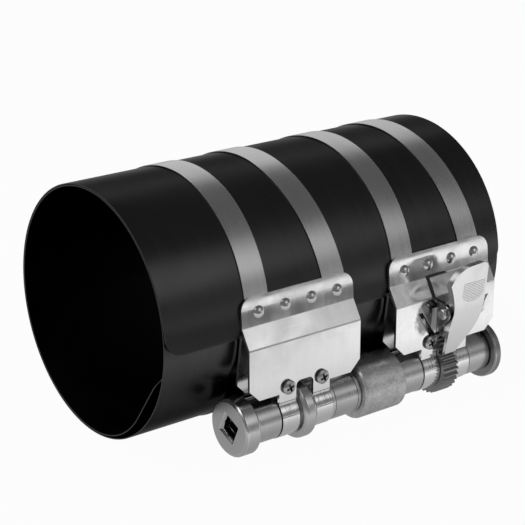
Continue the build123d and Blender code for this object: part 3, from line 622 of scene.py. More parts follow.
    @staticmethod
    def ridge_tree() -> Tree:
        """Rows of fine ridges cast from the front on a surface, shorter towards the last row.

        Returns:
            The tree; the rows run along X, one below the other.
        """
        g, given = new_tree(
            Maker.SHAPE, "ridges on a surface", surface=Kind.OBJECT, rows=12, first=Kind.VECTOR,
            pitch=0.7 * MM, length=10.0 * MM, last_length=4.0 * MM, even_rows=8, ridge_radius=0.2 * MM,
            face=Kind.MATERIAL)
        points, ring_steps, throw = 17, 10, 0.2
        ladder = g.shape("MeshLine", {
            "Count": given.rows, "Start Location": given.first,
            "Offset": g.joined(0.0, 0.0, g.times(given.pitch, -1.0))}, mode="OFFSET")
        row = g.shape("MeshLine", {
            "Count": points, "Start Location": (-0.5, 0.0, 0.0), "Offset": (1.0 / (points - 1), 0.0, 0.0)},
            mode="OFFSET")
        past = g.minus(g.shape("InputIndex"), given.even_rows)
        spare = g.minus(g.minus(given.rows, 1.0), given.even_rows)
        share = g.math("POWER", g.math("DIVIDE", past, spare, clamp=True), 2.0)
        reach = g.plus(given.length, g.times(g.minus(given.last_length, given.length), share))
        rows = g.shape("InstanceOnPoints", {
            "Points": ladder, "Instance": row, "Scale": g.joined(reach, 1.0, 1.0)})
        lines = g.shape("RealizeInstances", {"Geometry": rows})
        target = g.node("GeometryNodeObjectInfo", {"Object": given.surface}).outputs["Geometry"]
        hit = g.node("GeometryNodeRaycast", {
            "Target Geometry": target, "Ray Direction": (0.0, 1.0, 0.0), "Ray Length": throw})
        laid = g.shape("SetPosition", {
            "Geometry": lines, "Selection": hit.outputs["Is Hit"], "Position": hit.outputs["Hit Position"]})
        ring = g.shape("CurvePrimitiveCircle", {"Resolution": ring_steps, "Radius": given.ridge_radius})
        solid = g.shape("CurveToMesh", {
            "Curve": g.shape("MeshToCurve", {"Mesh": laid}), "Profile Curve": ring, "Fill Caps": True})
        return g.dressed(solid, given.face)


class Effects:
    """Shader groups that several finishes share."""

    # How much of the grain is fine, and how the coarse grain's scale compares with the fine one's.
    FINE_SHARE, COARSE_SCALE = 0.65, 0.23
    # Of each set of scratches: its patches' scale, and its lines' turn in radians and stretch.
    STROKES = (
        (160.0, (0.9, 0.4, 0.7), (90.0, 2600.0, 700.0)),
        (200.0, (-0.5, 1.1, -0.8), (120.0, 900.0, 3200.0)),
    )
    # The stretches of noise over which a hairline, a scratched patch and a smudge fade in.
    HAIRLINE, SCRATCHED, SMUDGED = (0.72, 0.76), (0.4, 0.75), (0.35, 0.68)

    def __init__(self) -> None:
        """Builds each group once."""
        self.grain = self.grain_group()
        self.scratches = self.scratch_group()
        self.smudges = self.smudge_group()

    @staticmethod
    def grain_group() -> Tree:
        """Fine drawn-out lines or grit, from a place already stretched the way they run.

        Returns:
            The group; its mask is about 0.5 on the whole.
        """
        g, given = new_tree(Maker.MARKS, "metal grain", place=Kind.VECTOR, scale=1000.0)
        fine = g.noise(given.place, given.scale, Detail=4.0, Roughness=0.6)
        coarse = g.noise(given.place, g.times(given.scale, Effects.COARSE_SCALE), Detail=2.0)
        shares = g.times(fine, Effects.FINE_SHARE), g.times(coarse, 1.0 - Effects.FINE_SHARE)
        return g.close(g.math("ADD", *shares, clamp=True))

    @staticmethod
    def scratch_group() -> Tree:
        """Sparse short hairlines in two directions, from handling.

        Returns:
            The group; its mask is 0 beside the scratches.
        """
        g, given = new_tree(Maker.MARKS, "handling scratches", place=Kind.VECTOR, amount=0.5)
        masks = []
        for patch_scale, turn, stretch in Effects.STROKES:
            turned = g.out("ShaderNodeMapping", {"Vector": given.place, "Rotation": turn, "Scale": stretch})
            thin = g.ramp(g.noise(turned, 1.0, Detail=0.0), *Effects.HAIRLINE)
            masks.append(g.times(thin, g.ramp(g.noise(given.place, patch_scale), *Effects.SCRATCHED)))
        return g.close(g.times(g.math("MAXIMUM", *masks), given.amount))

    @staticmethod
    def smudge_group() -> Tree:
        """Soft cloudy patches left by oil and fingers.

        Returns:
            The group; its mask is 0 between the patches.
        """
        g, given = new_tree(Maker.MARKS, "oil smudges", place=Kind.VECTOR, size=20.0 * MM)
        cloud = g.noise(given.place, g.math("DIVIDE", 1.0, given.size), Detail=3.0, Distortion=0.6)
        return g.close(g.ramp(cloud, *Effects.SMUDGED))


@dataclass(frozen=True)
class FoldShadeAndStrain:
    """Fold across a bracket's front: a painted shade line along the fold, with upright marks of stretched metal
    below it.
    """

    height: float
    front: Flat = (-50.0 * MM, -50.5 * MM)
    half_width: Flat = (0.2 * MM, 0.1 * MM)
    # How dark the painted shade along the fold gets.
    depth: float = 0.65
    marks_start: Flat = (0.0, 0.3 * MM)
    marks_end: Flat = (4.4 * MM, 3.2 * MM)
    marks_depth: float = 0.45
    marks_range: Flat = (0.42, 0.68)
    marks_scale: float = 2300.0
    marks_stretch: Place = (1.0, 0.0, 0.12)

    def tone(self, g: Graph, here: Socket) -> Socket:
        """What the painted fold shade and the strain marks multiply the metal's tone by.

        Args:
            g: the material's graph.
            here: the place on the surface.

        Returns:
            The factor, 1 away from the fold.
        """
        _, depth, height = g.axes(here)
        below = g.minus(self.height, height)
        # Painted shade along the fold line.
        fold_shade = g.ramp(g.math("ABSOLUTE", below), *self.half_width, 0.0, self.depth)
        marks = g.noise(g.vector("MULTIPLY", here, self.marks_stretch), self.marks_scale, Detail=1.0)
        reach = g.times(g.ramp(below, *self.marks_start), g.ramp(below, *self.marks_end))
        strain = g.times(g.ramp(marks, *self.marks_range, 0.0, self.marks_depth), reach)
        return g.minus(1.0, g.times(g.math("MAXIMUM", fold_shade, strain), g.ramp(depth, *self.front)))


@dataclass(frozen=True)
class PaintedShade:
    """Painted shade: a dark patch with an uneven border round a place where shade falls."""

    middle: Place
    border: Flat = (5.6 * MM, 7.6 * MM)
    squash: Place = (1.0, 0.35, 1.0)
    darkest: float = 0.3
    cloud_scale: float = 420.0
    cloud_range: Flat = (0.3, 0.7)
    cloud_reach: float = 5.0 * MM
    cloud_tone: float = 0.95

    def tone(self, g: Graph, here: Socket) -> Socket:
        """What the painted shade multiplies the metal's tone by.

        Args:
            g: the material's graph.
            here: the place on the surface.

        Returns:
            The factor, about 1 away from the painted shade.
        """
        away = g.vector("MULTIPLY", g.vector("SUBTRACT", here, self.middle), self.squash)
        off = g.node("ShaderNodeVectorMath", {0: away}, operation="LENGTH").outputs["Value"]
        cloud = g.noise(here, self.cloud_scale, Detail=3.0)
        uneven = g.plus(off, g.times(g.minus(cloud, 0.5), self.cloud_reach))
        mottled = g.ramp(cloud, *self.cloud_range, 1.0, self.cloud_tone)
        return g.times(g.ramp(uneven, *self.border, self.darkest, 1.0), mottled)


@dataclass(frozen=True)
class Finish:
    """One metal finish: its colour, gloss, grain and marks."""

    name: str
    grey: float
    roughness: float
    grain: Grain = Grain.EVEN
    grain_scale: float = 1500.0
    grain_height: float = 2e-6
    grain_range: Flat = (0.2, 0.8)
    grain_tint: float = 0.08
    grain_rough: float = 0.1
    scratches: float = 0.3
    scratch_tint: Flat = (0.12, 0.04)
    scratch_gloss: float = 0.08
    scratch_depth: float = 0.8
    smudge_size: float = 0.02
    smudge_rough: float = 0.1
    side_tint: float = 1.0
    marks: tuple[FoldShadeAndStrain | PaintedShade, ...] = ()

    def place(self, g: Graph, here: Socket) -> Socket:
        """Place on the surface, stretched so that the grain runs its way.

        Args:
            g: the material's graph.
            here: the plain place on the surface.

        Returns:
            A vector in metres.
        """
        if self.grain is Grain.ALONG_STRIP:
            strip = g.node("ShaderNodeAttribute", attribute_name=STRIP_PLACE).outputs["Vector"]
            return g.vector("MULTIPLY", strip, STRIP_GRAIN)
        if self.grain is Grain.TURNED:
            x, y, z = g.axes(g.vector("SUBTRACT", here, (0.0, SPOOL_Y, SPOOL_Z)))
            radius = g.math("SQRT", g.plus(g.math("POWER", y, 2.0), g.math("POWER", z, 2.0)))
            return g.joined(x, radius, g.times(g.math("ARCTAN2", y, z), TURNED_GRAIN))
        if self.grain is Grain.UPRIGHT:
            return g.vector("MULTIPLY", here, UPRIGHT_GRAIN)
        return here

    def build(self, effects: Effects) -> Material:
        """Makes the material.

        Args:
            effects: the shared shader groups.

        Returns:
            The finished material.
        """
        made = bpy.data.materials.new(self.name)
        made.use_nodes = True
        g = Graph(made.node_tree)
        inputs = made.node_tree.nodes["Principled BSDF"].inputs
        here = g.here()
        grain, scratch, smudge = (
            g.out("ShaderNodeGroup", {"Place": place, key: value}, node_tree=group)
            for group, place, key, value in (
                (effects.grain, self.place(g, here), "Scale", self.grain_scale),
                (effects.scratches, here, "Amount", self.scratches),
                (effects.smudges, here, "Size", self.smudge_size)))
        low, high = self.grey * (1.0 - self.grain_tint), min(1.0, self.grey * (1.0 + self.grain_tint))
        share, least = self.scratch_tint
        tone = g.ramp(grain, *self.grain_range, low, high)
        tone = g.plus(tone, g.times(scratch, share * self.grey + least))
        for mark in self.marks:
            tone = g.times(tone, mark.tone(g, here))
        rough = g.plus(
            g.times(g.minus(smudge, 0.5), self.smudge_rough), self.roughness,
            g.times(g.minus(grain, 0.5), self.grain_rough))
        height = g.minus(grain, g.times(scratch, self.scratch_depth))
        bump = g.out("ShaderNodeBump", {"Strength": 1.0, "Distance": self.grain_height, "Height": height})
        inputs["Metallic"].default_value = 1.0
        inputs["Specular Tint"].default_value = (self.side_tint, self.side_tint, self.side_tint, 1.0)
        g.feed(inputs["Base Color"], g.grey(tone))
        gloss = g.times(scratch, self.scratch_gloss)
        g.feed(inputs["Roughness"], g.math("SUBTRACT", rough, gloss, clamp=True))
        g.feed(inputs["Normal"], bump)
        return made


class Finishes:
    """All finishes of the tool, by what they cover."""

    def __init__(self) -> None:
        """Builds the shared groups and every material."""
        effects = Effects()
        self.sleeve = Finish(
            "blued sleeve", grey=0.07, roughness=0.27, side_tint=0.35, grain=Grain.ALONG_STRIP,
            grain_scale=900.0, grain_height=1.5e-6, grain_tint=0.12, scratches=0.08, smudge_size=0.05,
            smudge_rough=0.12).build(effects)
        self.blued_edge = Finish(
            "blued edge", grey=0.1, roughness=0.35, grain_scale=3000.0, scratches=0.1).build(effects)
        self.band = Finish(
            "satin band steel", grey=0.62, roughness=0.27, grain=Grain.ALONG_STRIP, grain_scale=2600.0,
            grain_height=1.2e-6, grain_tint=0.1, scratches=0.35, smudge_size=0.03).build(effects)
        self.band_edge = Finish("rolled band edge", grey=0.4, roughness=0.35, scratches=0.1).build(effects)
        bracket = Finish(
            "plated bracket", grey=0.84, roughness=0.17, grain=Grain.UPRIGHT, grain_scale=1800.0,
            grain_height=1.5e-6, grain_tint=0.05, scratches=0.3, smudge_size=0.012, smudge_rough=0.14,
            marks=(FoldShadeAndStrain(-28.0 * MM),))
        self.left_plate = bracket.build(effects)
        # Painted light: the right bracket is the same plated finish made lighter, grey 0.9 against 0.84, for the
        # brighter light on it.
        self.right_plate = replace(
            bracket, name="oiled bracket", grey=0.9,
            # Painted shade on the front beside the ear, where the pawl's shade falls.
            marks=(FoldShadeAndStrain(-29.0 * MM), PaintedShade((112.5 * MM, -54.9 * MM, -12.5 * MM)))).build(effects)
        self.plate_edge = Finish("plated edge", grey=0.95, roughness=0.2, scratches=0.2).build(effects)
        self.rivet = Finish(
            "rivet steel", grey=0.66, roughness=0.22, smudge_size=0.003, smudge_rough=0.2).build(effects)
        # Painted shade: the sides of the screw heads are the same steel painted nearly black, for the dark ring
        # round each head.
        self.screw_side = Finish("screw side", grey=0.1, roughness=0.4, scratches=0.2).build(effects)
        # Painted shade: the socket's walls and floor, and the shaft's faces seen in it, are painted nearly black
        # where shade falls in the recess.
        self.socket = Finish(
            "painted socket shade", grey=0.03, roughness=0.5, grain_scale=900.0, grain_height=1e-5).build(effects)
        self.screw = Finish(
            "screw steel", grey=0.52, roughness=0.36, grain_scale=2500.0, smudge_size=0.003,
            smudge_rough=0.2).build(effects)
        self.turned = Finish(
            "turned steel", grey=0.66, roughness=0.3, grain=Grain.TURNED, grain_scale=4200.0,
            grain_height=2.5e-6, grain_tint=0.1, smudge_size=0.012).build(effects)
        self.turned_edge = Finish("turned edge", grey=0.75, roughness=0.25, scratches=0.2).build(effects)
        self.rough = Finish(
            "rough collar", grey=0.72, roughness=0.46, grain_scale=1100.0, grain_height=2.5e-5,
            grain_tint=0.5, smudge_size=0.006).build(effects)
        self.dark = Finish(
            "oiled wheel steel", grey=0.32, roughness=0.38, grain=Grain.TURNED, grain_scale=3000.0,
            grain_height=3e-6, grain_tint=0.2, smudge_size=0.006).build(effects)
        self.pawl = Finish(
            "pressed pawl steel", grey=0.78, roughness=0.22, grain_scale=1800.0, grain_height=1.5e-6,
            grain_tint=0.05, scratches=0.12, smudge_size=0.008, smudge_rough=0.12).build(effects)
        self.wire = Finish(
            "spring wire", grey=0.1, roughness=0.33, grain_scale=3000.0, scratches=0.2).build(effects)


@dataclass(frozen=True)
class Easing:
    """How a CAD piece's sharp edges are eased."""

    width: float = 0.12 * MM
    segments: int = 2
    angle: float = 28.0
    flat: float = 0.4

    def dress(self, node: str, face: Material, edge: Material | None = None, inner: Material | None = None,
              is_inner: Callable[[Vector, Vector], bool] | None = None,
              trim: Callable[[Vector], Vector] | None = None) -> Piece:
        """Copies a CAD node, merges it, eases its edges and gives it its finish.

        Args:
            node: the CAD node.
            face: the finish of its faces.
            edge: the finish of its eased edges, if it differs.
            inner: the finish of its inner faces, if it differs.
            is_inner: says from a face's middle and normal whether it is an inner one.
            trim: gives the place of each corner, where some are trimmed back.

        Returns:
            The seated piece, which stands for the node.
        """
        shape = bmesh.new()
        shape.from_mesh(frame["nodes"][node].data)
        bmesh.ops.remove_doubles(shape, verts=shape.verts, dist=MERGE_GAP)
        bmesh.ops.dissolve_limit(
            shape, angle_limit=math.radians(self.flat), verts=shape.verts, edges=shape.edges)
        if trim:
            for corner in shape.verts:
                corner.co = trim(corner.co)
            shape.normal_update()
        slots = [2 if is_inner and is_inner(f.calc_center_median(), f.normal) else 0 for f in shape.faces]
        mesh = kept(shape, node)
        mesh.materials.clear()
        for material in filter(None, (face, edge or face, inner)):
            mesh.materials.append(material)
        mesh.polygons.foreach_set("material_index", slots)
        mesh.polygons.foreach_set("use_smooth", [True] * len(mesh.polygons))
        start = placed(node + "_start", mesh)
        bevel = start.modifiers.new("ease", "BEVEL")
        bevel.width, bevel.segments = self.width, self.segments
        bevel.limit_method, bevel.angle_limit = "ANGLE", math.radians(self.angle)
        bevel.material = 1 if edge else -1
        start.modifiers.new("weigh", "WEIGHTED_NORMAL").keep_sharp = True
        return settle(placed("dressed_" + node, baked(start)), node)


@dataclass(frozen=True)
class WoundSleeve:
    """Sheet wound nearly twice round the piston, with a flap bent in at its inner end."""

    trees: Trees
    finishes: Finishes
    sheet: float = 0.4 * MM
    gap: float = 0.2 * MM
    outer_end: float = 183.0
    corner: float = 7.0 * MM
    flap_inset: float = 10.5 * MM
    flap_bend: float = 55.0
    flap_straight: float = 24.3 * MM
    corner_lift: float = 0.8 * MM
    end_lift: float = 0.25 * MM
    row_step: float = 0.6 * MM
    edge_radius: float = 0.06 * MM

    @property
    def radius(self) -> float:
        """Outside radius of the sleeve."""
        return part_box("sleeve")[1].z

    @property
    def pitch(self) -> float:
        """How much closer to the axis each turn lies."""
        return self.sheet + self.gap

    def route(self) -> Route:
        """Middle line of the sheet: half turns, each drawn in by half the pitch.

        Returns:
            The route, from the outer end to the flap's end.
        """
        upper, lower = (0.0, 0.0), (self.pitch / 2, 0.0)
        middle = self.radius - self.sheet / 2
        bend = self.radius - self.flap_inset
        centre = (lower[0], bend - self.radius + 1.5 * self.pitch)
        last = 270.0 - self.flap_bend
        way = Route().arc(upper, middle, self.outer_end, 0.0)
        way.arc(lower, middle - self.pitch / 2, 0.0, -180.0)
        way.arc(upper, middle - self.pitch, 180.0, 0.0)
        way.arc(lower, middle - 1.5 * self.pitch, 0.0, -90.0)
        way.arc(centre, bend - self.sheet / 2, 270.0, last)
        return way.line(Route.polar(way.points[-1], self.flap_straight, last - 90.0))

    def build(self) -> None:
        """Makes the sleeve."""
        low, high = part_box("sleeve")
        sleeve = grow(
            "wound_sleeve", self.trees.strip, self.route().mesh("sleeve_route"), width=high.x - low.x,
            thickness=self.sheet, step=self.row_step, edge_radius=self.edge_radius, corner_radius=self.corner,
            middle=(low.x + high.x) / 2, lift=self.corner_lift, lip=self.end_lift,
            face=self.finishes.sleeve, edge=self.finishes.blued_edge)
        settle(smooth(sleeve, STRIP_SHARP), "sleeve")


@dataclass(frozen=True)
class TensionBands:
    """Four bands over the sleeve, and what is wound of each on the spool."""

    trees: Trees
    finishes: Finishes
    sleeve: WoundSleeve
    width: float = 10.0 * MM
    sheet: float = 0.4 * MM
    seat_gap: float = 0.03 * MM
    drifts: tuple[float, ...] = (1.2 * MM, -4.0 * MM, 0.3 * MM, -4.4 * MM)
    riveted_end: float = 178.0
    drift_start: float = 5.0 * MM
    drift_low: float = 27.4 * MM
    drift_end: float = 44.0 * MM
    coil_radius: float = 8.25 * MM
    coil_gap: float = 0.3 * MM
    coil_turns: float = 1.5
    layer_gap: float = 0.02 * MM
    lap: float = 30.0
    row_step: float = 0.8 * MM
    edge_radius: float = 0.12 * MM

    def leaves_at(self) -> float:
        """Angle round the sleeve at which a band leaves for the spool.

        Returns:
            The angle in degrees.
        """
        away_y = SPOOL_Y - self.sleeve.pitch / 2
        towards = math.degrees(math.atan2(SPOOL_Z, away_y)) % 360
        reach = self.sleeve.radius + self.seat_gap + self.sheet - self.sleeve.pitch / 2
        reach += self.coil_radius + self.coil_gap
        return towards + math.degrees(math.acos(reach / math.hypot(away_y, SPOOL_Z)))

    def band_route(self) -> Route:
        """Middle line of a band, from its rivet over the top and round to the spool.

        Returns:
            The route.
        """
        upper, lower = (0.0, 0.0), (self.sleeve.pitch / 2, 0.0)
        spool = (SPOOL_Y, SPOOL_Z)
        middle = self.sleeve.radius + self.seat_gap + self.sheet / 2
        leave = self.leaves_at()
        lap_radius = self.coil_radius + self.coil_gap + self.sheet / 2
        way = Route().arc(upper, middle, self.riveted_end, 0.0)
        way.arc(lower, middle - self.sleeve.pitch / 2, 0.0, leave - 360.0)
        way.line(Route.polar(spool, lap_radius, leave - 180.0))
        return way.arc(spool, lap_radius, leave - 180.0, leave - 180.0 + self.lap)

    def coil_route(self) -> Route:
        """Middle line of a coil, wound in towards the core.

        Returns:
            The route.
        """
        step = self.leaves_at() - 180.0 + self.lap
        outer = self.coil_radius - self.sheet / 2
        inner = outer - self.coil_turns * (self.sheet + self.layer_gap)
        return Route().arc((SPOOL_Y, SPOOL_Z), outer, step, step - 360.0 * self.coil_turns, inner)

    def build(self) -> None:
        """Makes the bands and their coils."""
        for place, drift in enumerate(self.drifts, start=1):
            low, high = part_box(f"band_coil_{place}")
            common = dict(
                width=self.width, thickness=self.sheet, step=self.row_step, edge_radius=self.edge_radius,
                middle=(low.x + high.x) / 2, face=self.finishes.band, edge=self.finishes.band_edge)
            band = grow(
                f"tension_band_{place}", self.trees.strip, self.band_route().mesh("band_route"), drift=drift,
                drift_start=self.drift_start, drift_low=self.drift_low, drift_end=self.drift_end, **common)
            settle(smooth(band, STRIP_SHARP), f"band_{place}")
            coil = grow(
                f"wound_band_{place}", self.trees.strip, self.coil_route().mesh("coil_route"), **common)
            settle(smooth(coil, STRIP_SHARP), f"band_coil_{place}")


@dataclass(frozen=True)
class Brackets:
    """Two brackets with their rivets, clamp screws and nuts."""

    trees: Trees
    finishes: Finishes
    easing: Easing = Easing(width=0.22 * MM)
    nut_easing: Easing = Easing()
    rivets: int = 4
    rivet_angle: float = 172.8
    rivet_radius: float = 2.15 * MM
    rivet_height: float = 1.35 * MM
    rivet_lip: float = 0.18 * MM
    rivet_root: float = 1.5 * MM
    screws: int = 2
    screw_radius: float = 2.6 * MM
    screw_height: float = 1.7 * MM
    screw_edge: float = 1.15 * MM
    screw_ease: float = 0.12 * MM
    screw_chamfer: float = 0.25 * MM
    shank_radius: float = 1.5 * MM
    cross_length: float = 3.4 * MM
    cross_width: float = 0.9 * MM
    cross_depth: float = 1.3 * MM
    cross_clear: float = 0.5 * MM
    cross_taper: float = 0.8
    cross_turn: float = 22.0

    def rivet(self) -> Mesh:
        """One rivet head along +Z, its seat at Z = 0.

        Returns:
            The rivet's mesh.
        """
        radius, lip = self.rivet_radius, self.rivet_lip
        rim = [(0.0, -self.rivet_root), (radius - lip / 2, 0.0), (radius, lip / 2)]
        return lathe("rivet", rim + dome(radius, self.rivet_height - lip, self.rivet_height))

    def screw(self, depth: float) -> Mesh:
        """One screw along +Z with its head's seat at Z = 0 and a cross cut in the head.

        Args:
            depth: how far the shank reaches below the seat.

        Returns:
            The screw's mesh.
        """
        radius, shank, ease = self.screw_radius, self.shank_radius, self.screw_ease
        side = [(0.0, -depth), (shank, -depth), (shank, 0.0), (radius - ease, 0.0), (radius, ease),
                (radius, self.screw_edge - self.screw_chamfer)]
        cap = dome(radius - self.screw_chamfer, self.screw_height - self.screw_edge, self.screw_height)
        body = placed("screw_body", lathe("screw", side + cap))
        cross = placed("screw_cross", self.cross())
        cut = body.modifiers.new("cross", "BOOLEAN")
        cut.operation, cut.solver, cut.object = "DIFFERENCE", "EXACT", cross
        made = baked(body)
        bpy.data.objects.remove(cross)
        return made

    def cross(self) -> Mesh:
        """Tool of the cross recess, which narrows towards the bottom.

        Returns:
            The tool's closed mesh.
        """
        shape = bmesh.new()
        half, wide = self.cross_length / 2, self.cross_width / 2
        outline = [Matrix.Rotation(quarter * math.pi / 2, 3, "Z") @ Vector((x, y, 0.0))
                   for quarter in range(4) for x, y in ((half, -wide), (half, wide), (wide, wide))]
        levels = ((1.0, self.screw_height + self.cross_clear),
                  (self.cross_taper, self.screw_height - self.cross_depth))
        upper, lower = ([shape.verts.new((p.x * share, p.y * share, height)) for p in outline]
                        for share, height in levels)
        shape.faces.new(upper)
        shape.faces.new(reversed(lower))
        for i in range(len(outline)):
            j = (i + 1) % len(outline)
            shape.faces.new((upper[i], lower[i], lower[j], upper[j]))
        bmesh.ops.recalc_face_normals(shape, faces=shape.faces)
        return kept(shape, "cross")

    def rivet_row(self, side: str) -> None:
        """Makes a bracket's rivet heads, whose crowns stand where the CAD rivets' do.

        Args:
            side: left or right.
        """
        node = f"{side}_bracket_rivets"
        low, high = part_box(node)
        angle = math.radians(self.rivet_angle)
        out = Vector((0.0, math.cos(angle), math.sin(angle)))
        crown = max(out.dot(corner.co) for corner in frame["nodes"][node].data.vertices)
        row = grow(
            f"{side}_rivet_heads", self.trees.row, self.rivet(), count=self.rivets,
            first=Vector((low.x + self.rivet_radius, 0.0, 0.0)) + out * (crown - self.rivet_height),
            pitch=(high.x - low.x - 2 * self.rivet_radius) / (self.rivets - 1), lean=angle - math.pi / 2,
            face=self.finishes.rivet, side=self.finishes.rivet)
        settle(smooth(row), node)

    def screw_row(self, side: str) -> None:
        """Makes a bracket's clamp screws.

        Args:
            side: left or right.
        """
        node = f"{side}_clamp_screws"
        low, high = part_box(node)
        seat = low.y + self.screw_height
        # The sides of the heads take the painted shade finish.
        row = grow(
            f"{side}_cross_screws", self.trees.row, self.screw(high.y - seat), count=self.screws,
            first=Vector((low.x + self.screw_radius, seat, (low.z + high.z) / 2)),
            pitch=(high.x - low.x - 2 * self.screw_radius) / (self.screws - 1), lean=math.pi / 2,
            spin=math.radians(self.cross_turn), face=self.finishes.screw, side=self.finishes.screw_side)
        settle(smooth(row, SCREW_SHARP), node)

    def build(self) -> None:
        """Makes both brackets and their fasteners."""
        for side, plate in (("left", self.finishes.left_plate), ("right", self.finishes.right_plate)):
            self.easing.dress(f"{side}_bracket", plate, self.finishes.plate_edge)
            self.nut_easing.dress(f"{side}_clamp_nuts", self.finishes.screw)
            self.rivet_row(side)
            self.screw_row(side)


@dataclass(frozen=True)
class Spool:
    """What turns in the bracket loops: shaft, drive head, collars and ratchet wheel."""

    trees: Trees
    finishes: Finishes
    easing: Easing = Easing()
    head_easing: Easing = Easing(width=0.3 * MM, segments=3)
    ring_easing: Easing = Easing(width=0.45 * MM, segments=4)
    teeth: int = 30
    tooth_depth: float = 1.1 * MM
    flank: float = 34.0
    root_width: float = 0.3 * MM
    root_play: float = 0.05 * MM
    socket_reach: float = 5.0 * MM
    socket_lead: float = 1.5 * MM
    socket_floor: float = 14.0 * MM
    wall_share: float = 0.3
    floor_share: float = 0.9

    def in_socket(self, middle: Vector, normal: Vector) -> bool:
        """Says whether a face of the head or the shaft is a wall or the floor of the square socket.

        Args:
            middle: the face's middle.
            normal: its normal.

        Returns:
            Whether it lies in the socket.
        """
        near = math.hypot(middle.y - SPOOL_Y, middle.z - SPOOL_Z) < self.socket_reach
        depth = middle.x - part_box("drive_head")[0].x
        wall = abs(normal.x) < self.wall_share
        floor = normal.x < -self.floor_share and depth > self.socket_lead
        return near and depth < self.socket_floor and (wall or floor)

    def wheel(self) -> Piece:
        """Ratchet wheel with its valleys where the CAD wheel has them.

        Returns:
            The wheel.
        """
        low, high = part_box("ratchet_wheel")
        verts = [v.co for v in frame["nodes"]["ratchet_wheel"].data.vertices]
        radii = [math.hypot(v.y - SPOOL_Y, v.z - SPOOL_Z) for v in verts]
        tip, bore = max(radii), min(radii)
        root = tip - self.tooth_depth
        turns = [math.atan2(v.z - SPOOL_Z, v.y - SPOOL_Y) * self.teeth
                 for v, radius in zip(verts, radii) if abs(radius - root) < self.root_play]
        first = math.atan2(sum(map(math.sin, turns)), sum(map(math.cos, turns))) / self.teeth
        mouth = self.root_width / 2 + self.tooth_depth * math.tan(math.radians(self.flank))
        return grow(
            "toothed_wheel", self.trees.wheel, teeth=self.teeth, tip_radius=tip, root_radius=root, bore=bore,
            valley=mouth / tip, floor=self.root_width / 2 / root, first_valley=first, width=high.x - low.x,
            centre=Vector((low.x, SPOOL_Y, SPOOL_Z)), face=self.finishes.dark)

    def build(self) -> None:
        """Makes every piece of the spool."""
        metal = self.finishes
        # Faces in the socket take the painted shade finish.
        for node, easing in (("spool_shaft", self.easing), ("drive_head", self.head_easing)):
            easing.dress(node, metal.turned, metal.turned_edge, metal.socket, self.in_socket)
        self.ring_easing.dress("ring_collar", metal.turned)
        self.easing.dress("centre_collar", metal.rough, metal.turned)
        self.easing.dress("end_flange", metal.dark, metal.turned)
        settle(self.wheel(), "ratchet_wheel")


@dataclass(frozen=True)
class Pawl:
    """Thumb pawl with its ridged pad, its pin and its spring."""

    trees: Trees
    finishes: Finishes
    easing: Easing = Easing(width=0.25 * MM, segments=3)
    pin_easing: Easing = Easing(width=0.08 * MM)
    spring_easing: Easing = Easing(width=0.02 * MM)
    rows: int = 12
    even_rows: int = 7
    row_pitch: float = 0.68 * MM
    first_row: Flat = (125.0 * MM, 1.0 * MM)
    row_length: float = 10.6 * MM
    last_row_length: float = 4.6 * MM
    ridge_radius: float = 0.14 * MM
    stand_off: float = 20.0 * MM
    far_lobe: float = 130.3 * MM
    lobe_root: float = -19.0 * MM
    root_play: float = 0.1 * MM
    root_side: float = 130.6 * MM
    root_lift: float = 2.75 * MM
    web_lean: float = 0.2305

    def ridges(self, pad: Piece) -> None:
        """Makes the fine ridges that stop the thumb from slipping, laid on the dressed pad.

        Args:
            pad: the dressed pawl.
        """
        x, z = self.first_row
        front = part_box("ratchet_pawl")[0].y - self.stand_off
        # Painted highlight: the ridges take the lighter plated-edge finish, not the pawl's own steel, so that they
        # look brighter.
        rows = grow(
            "thumb_ridges", self.trees.ridges, surface=pad, rows=self.rows, first=Vector((x, front, z)),
            pitch=self.row_pitch, length=self.row_length, last_length=self.last_row_length,
            even_rows=self.even_rows, ridge_radius=self.ridge_radius, face=self.finishes.plate_edge)
        smooth(rows, RIDGE_SHARP)
        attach(rows, BODY_OF["ratchet_pawl"])
        LOG.info("%s: %d rows on the pad", rows.name, self.rows)

    def trimmed(self, corner: Vector) -> Vector:
        """Draws the far lobe's root up behind the pad's border.

        Args:
            corner: the place of a corner of the pawl.

        Returns:
            Its place after the trim.
        """
        if abs(corner.z - self.lobe_root) > self.root_play or corner.x < self.far_lobe:
            return corner
        back = corner.y - self.root_lift * self.web_lean
        return Vector((min(corner.x, self.root_side), back, corner.z + self.root_lift))

    def build(self) -> None:
        """Makes the pawl and what carries it."""
        self.ridges(self.easing.dress("ratchet_pawl", self.finishes.pawl, trim=self.trimmed))
        self.pin_easing.dress("pawl_pin", self.finishes.rivet)
        self.spring_easing.dress("pawl_spring", self.finishes.wire)


def compass(azimuth: float, elevation: float) -> Vector:
    """Direction from its azimuth, 0 along +Y and 90 along +X, and its elevation, both in degrees."""
    turn, rise = math.radians(azimuth), math.radians(elevation)
    return Vector((math.sin(turn) * math.cos(rise), math.cos(turn) * math.cos(rise), math.sin(rise)))


def aimed(name: str, data: bpy.types.ID, place: Vector, back: Vector) -> bpy.types.Object:
    """Places a camera or a lamp.

    Args:
        name: the object's name.
        data: the camera or the lamp.
        place: where it stands.
        back: the direction that it turns its back to.

    Returns:
        The object.
    """
    made = bpy.data.objects.new(name, data)
    made.location = place
    made.rotation_mode = "QUATERNION"
    made.rotation_quaternion = (-back).to_track_quat("-Z", "Y")
    bpy.context.scene.collection.objects.link(made)
    return made


@dataclass(frozen=True)
class Lamp:
    """Soft box that faces the object; its angles are in degrees, and a radiance of 1 is white."""

    name: str
    azimuth: float
    elevation: float
    away: float
    size: Flat
    radiance: float

    def hang(self) -> None:
        """Adds the lamp to the scene."""
        data = bpy.data.lights.new(self.name, "AREA")
        data.shape = "RECTANGLE"
        data.size, data.size_y = self.size
        data.energy = self.radiance * math.pi * self.size[0] * self.size[1]
        way = compass(self.azimuth, self.elevation)
        middle = (Vector(CAD_BOX[0]) + Vector(CAD_BOX[1])) / 2
        aimed(self.name, data, middle + way * self.away, way)


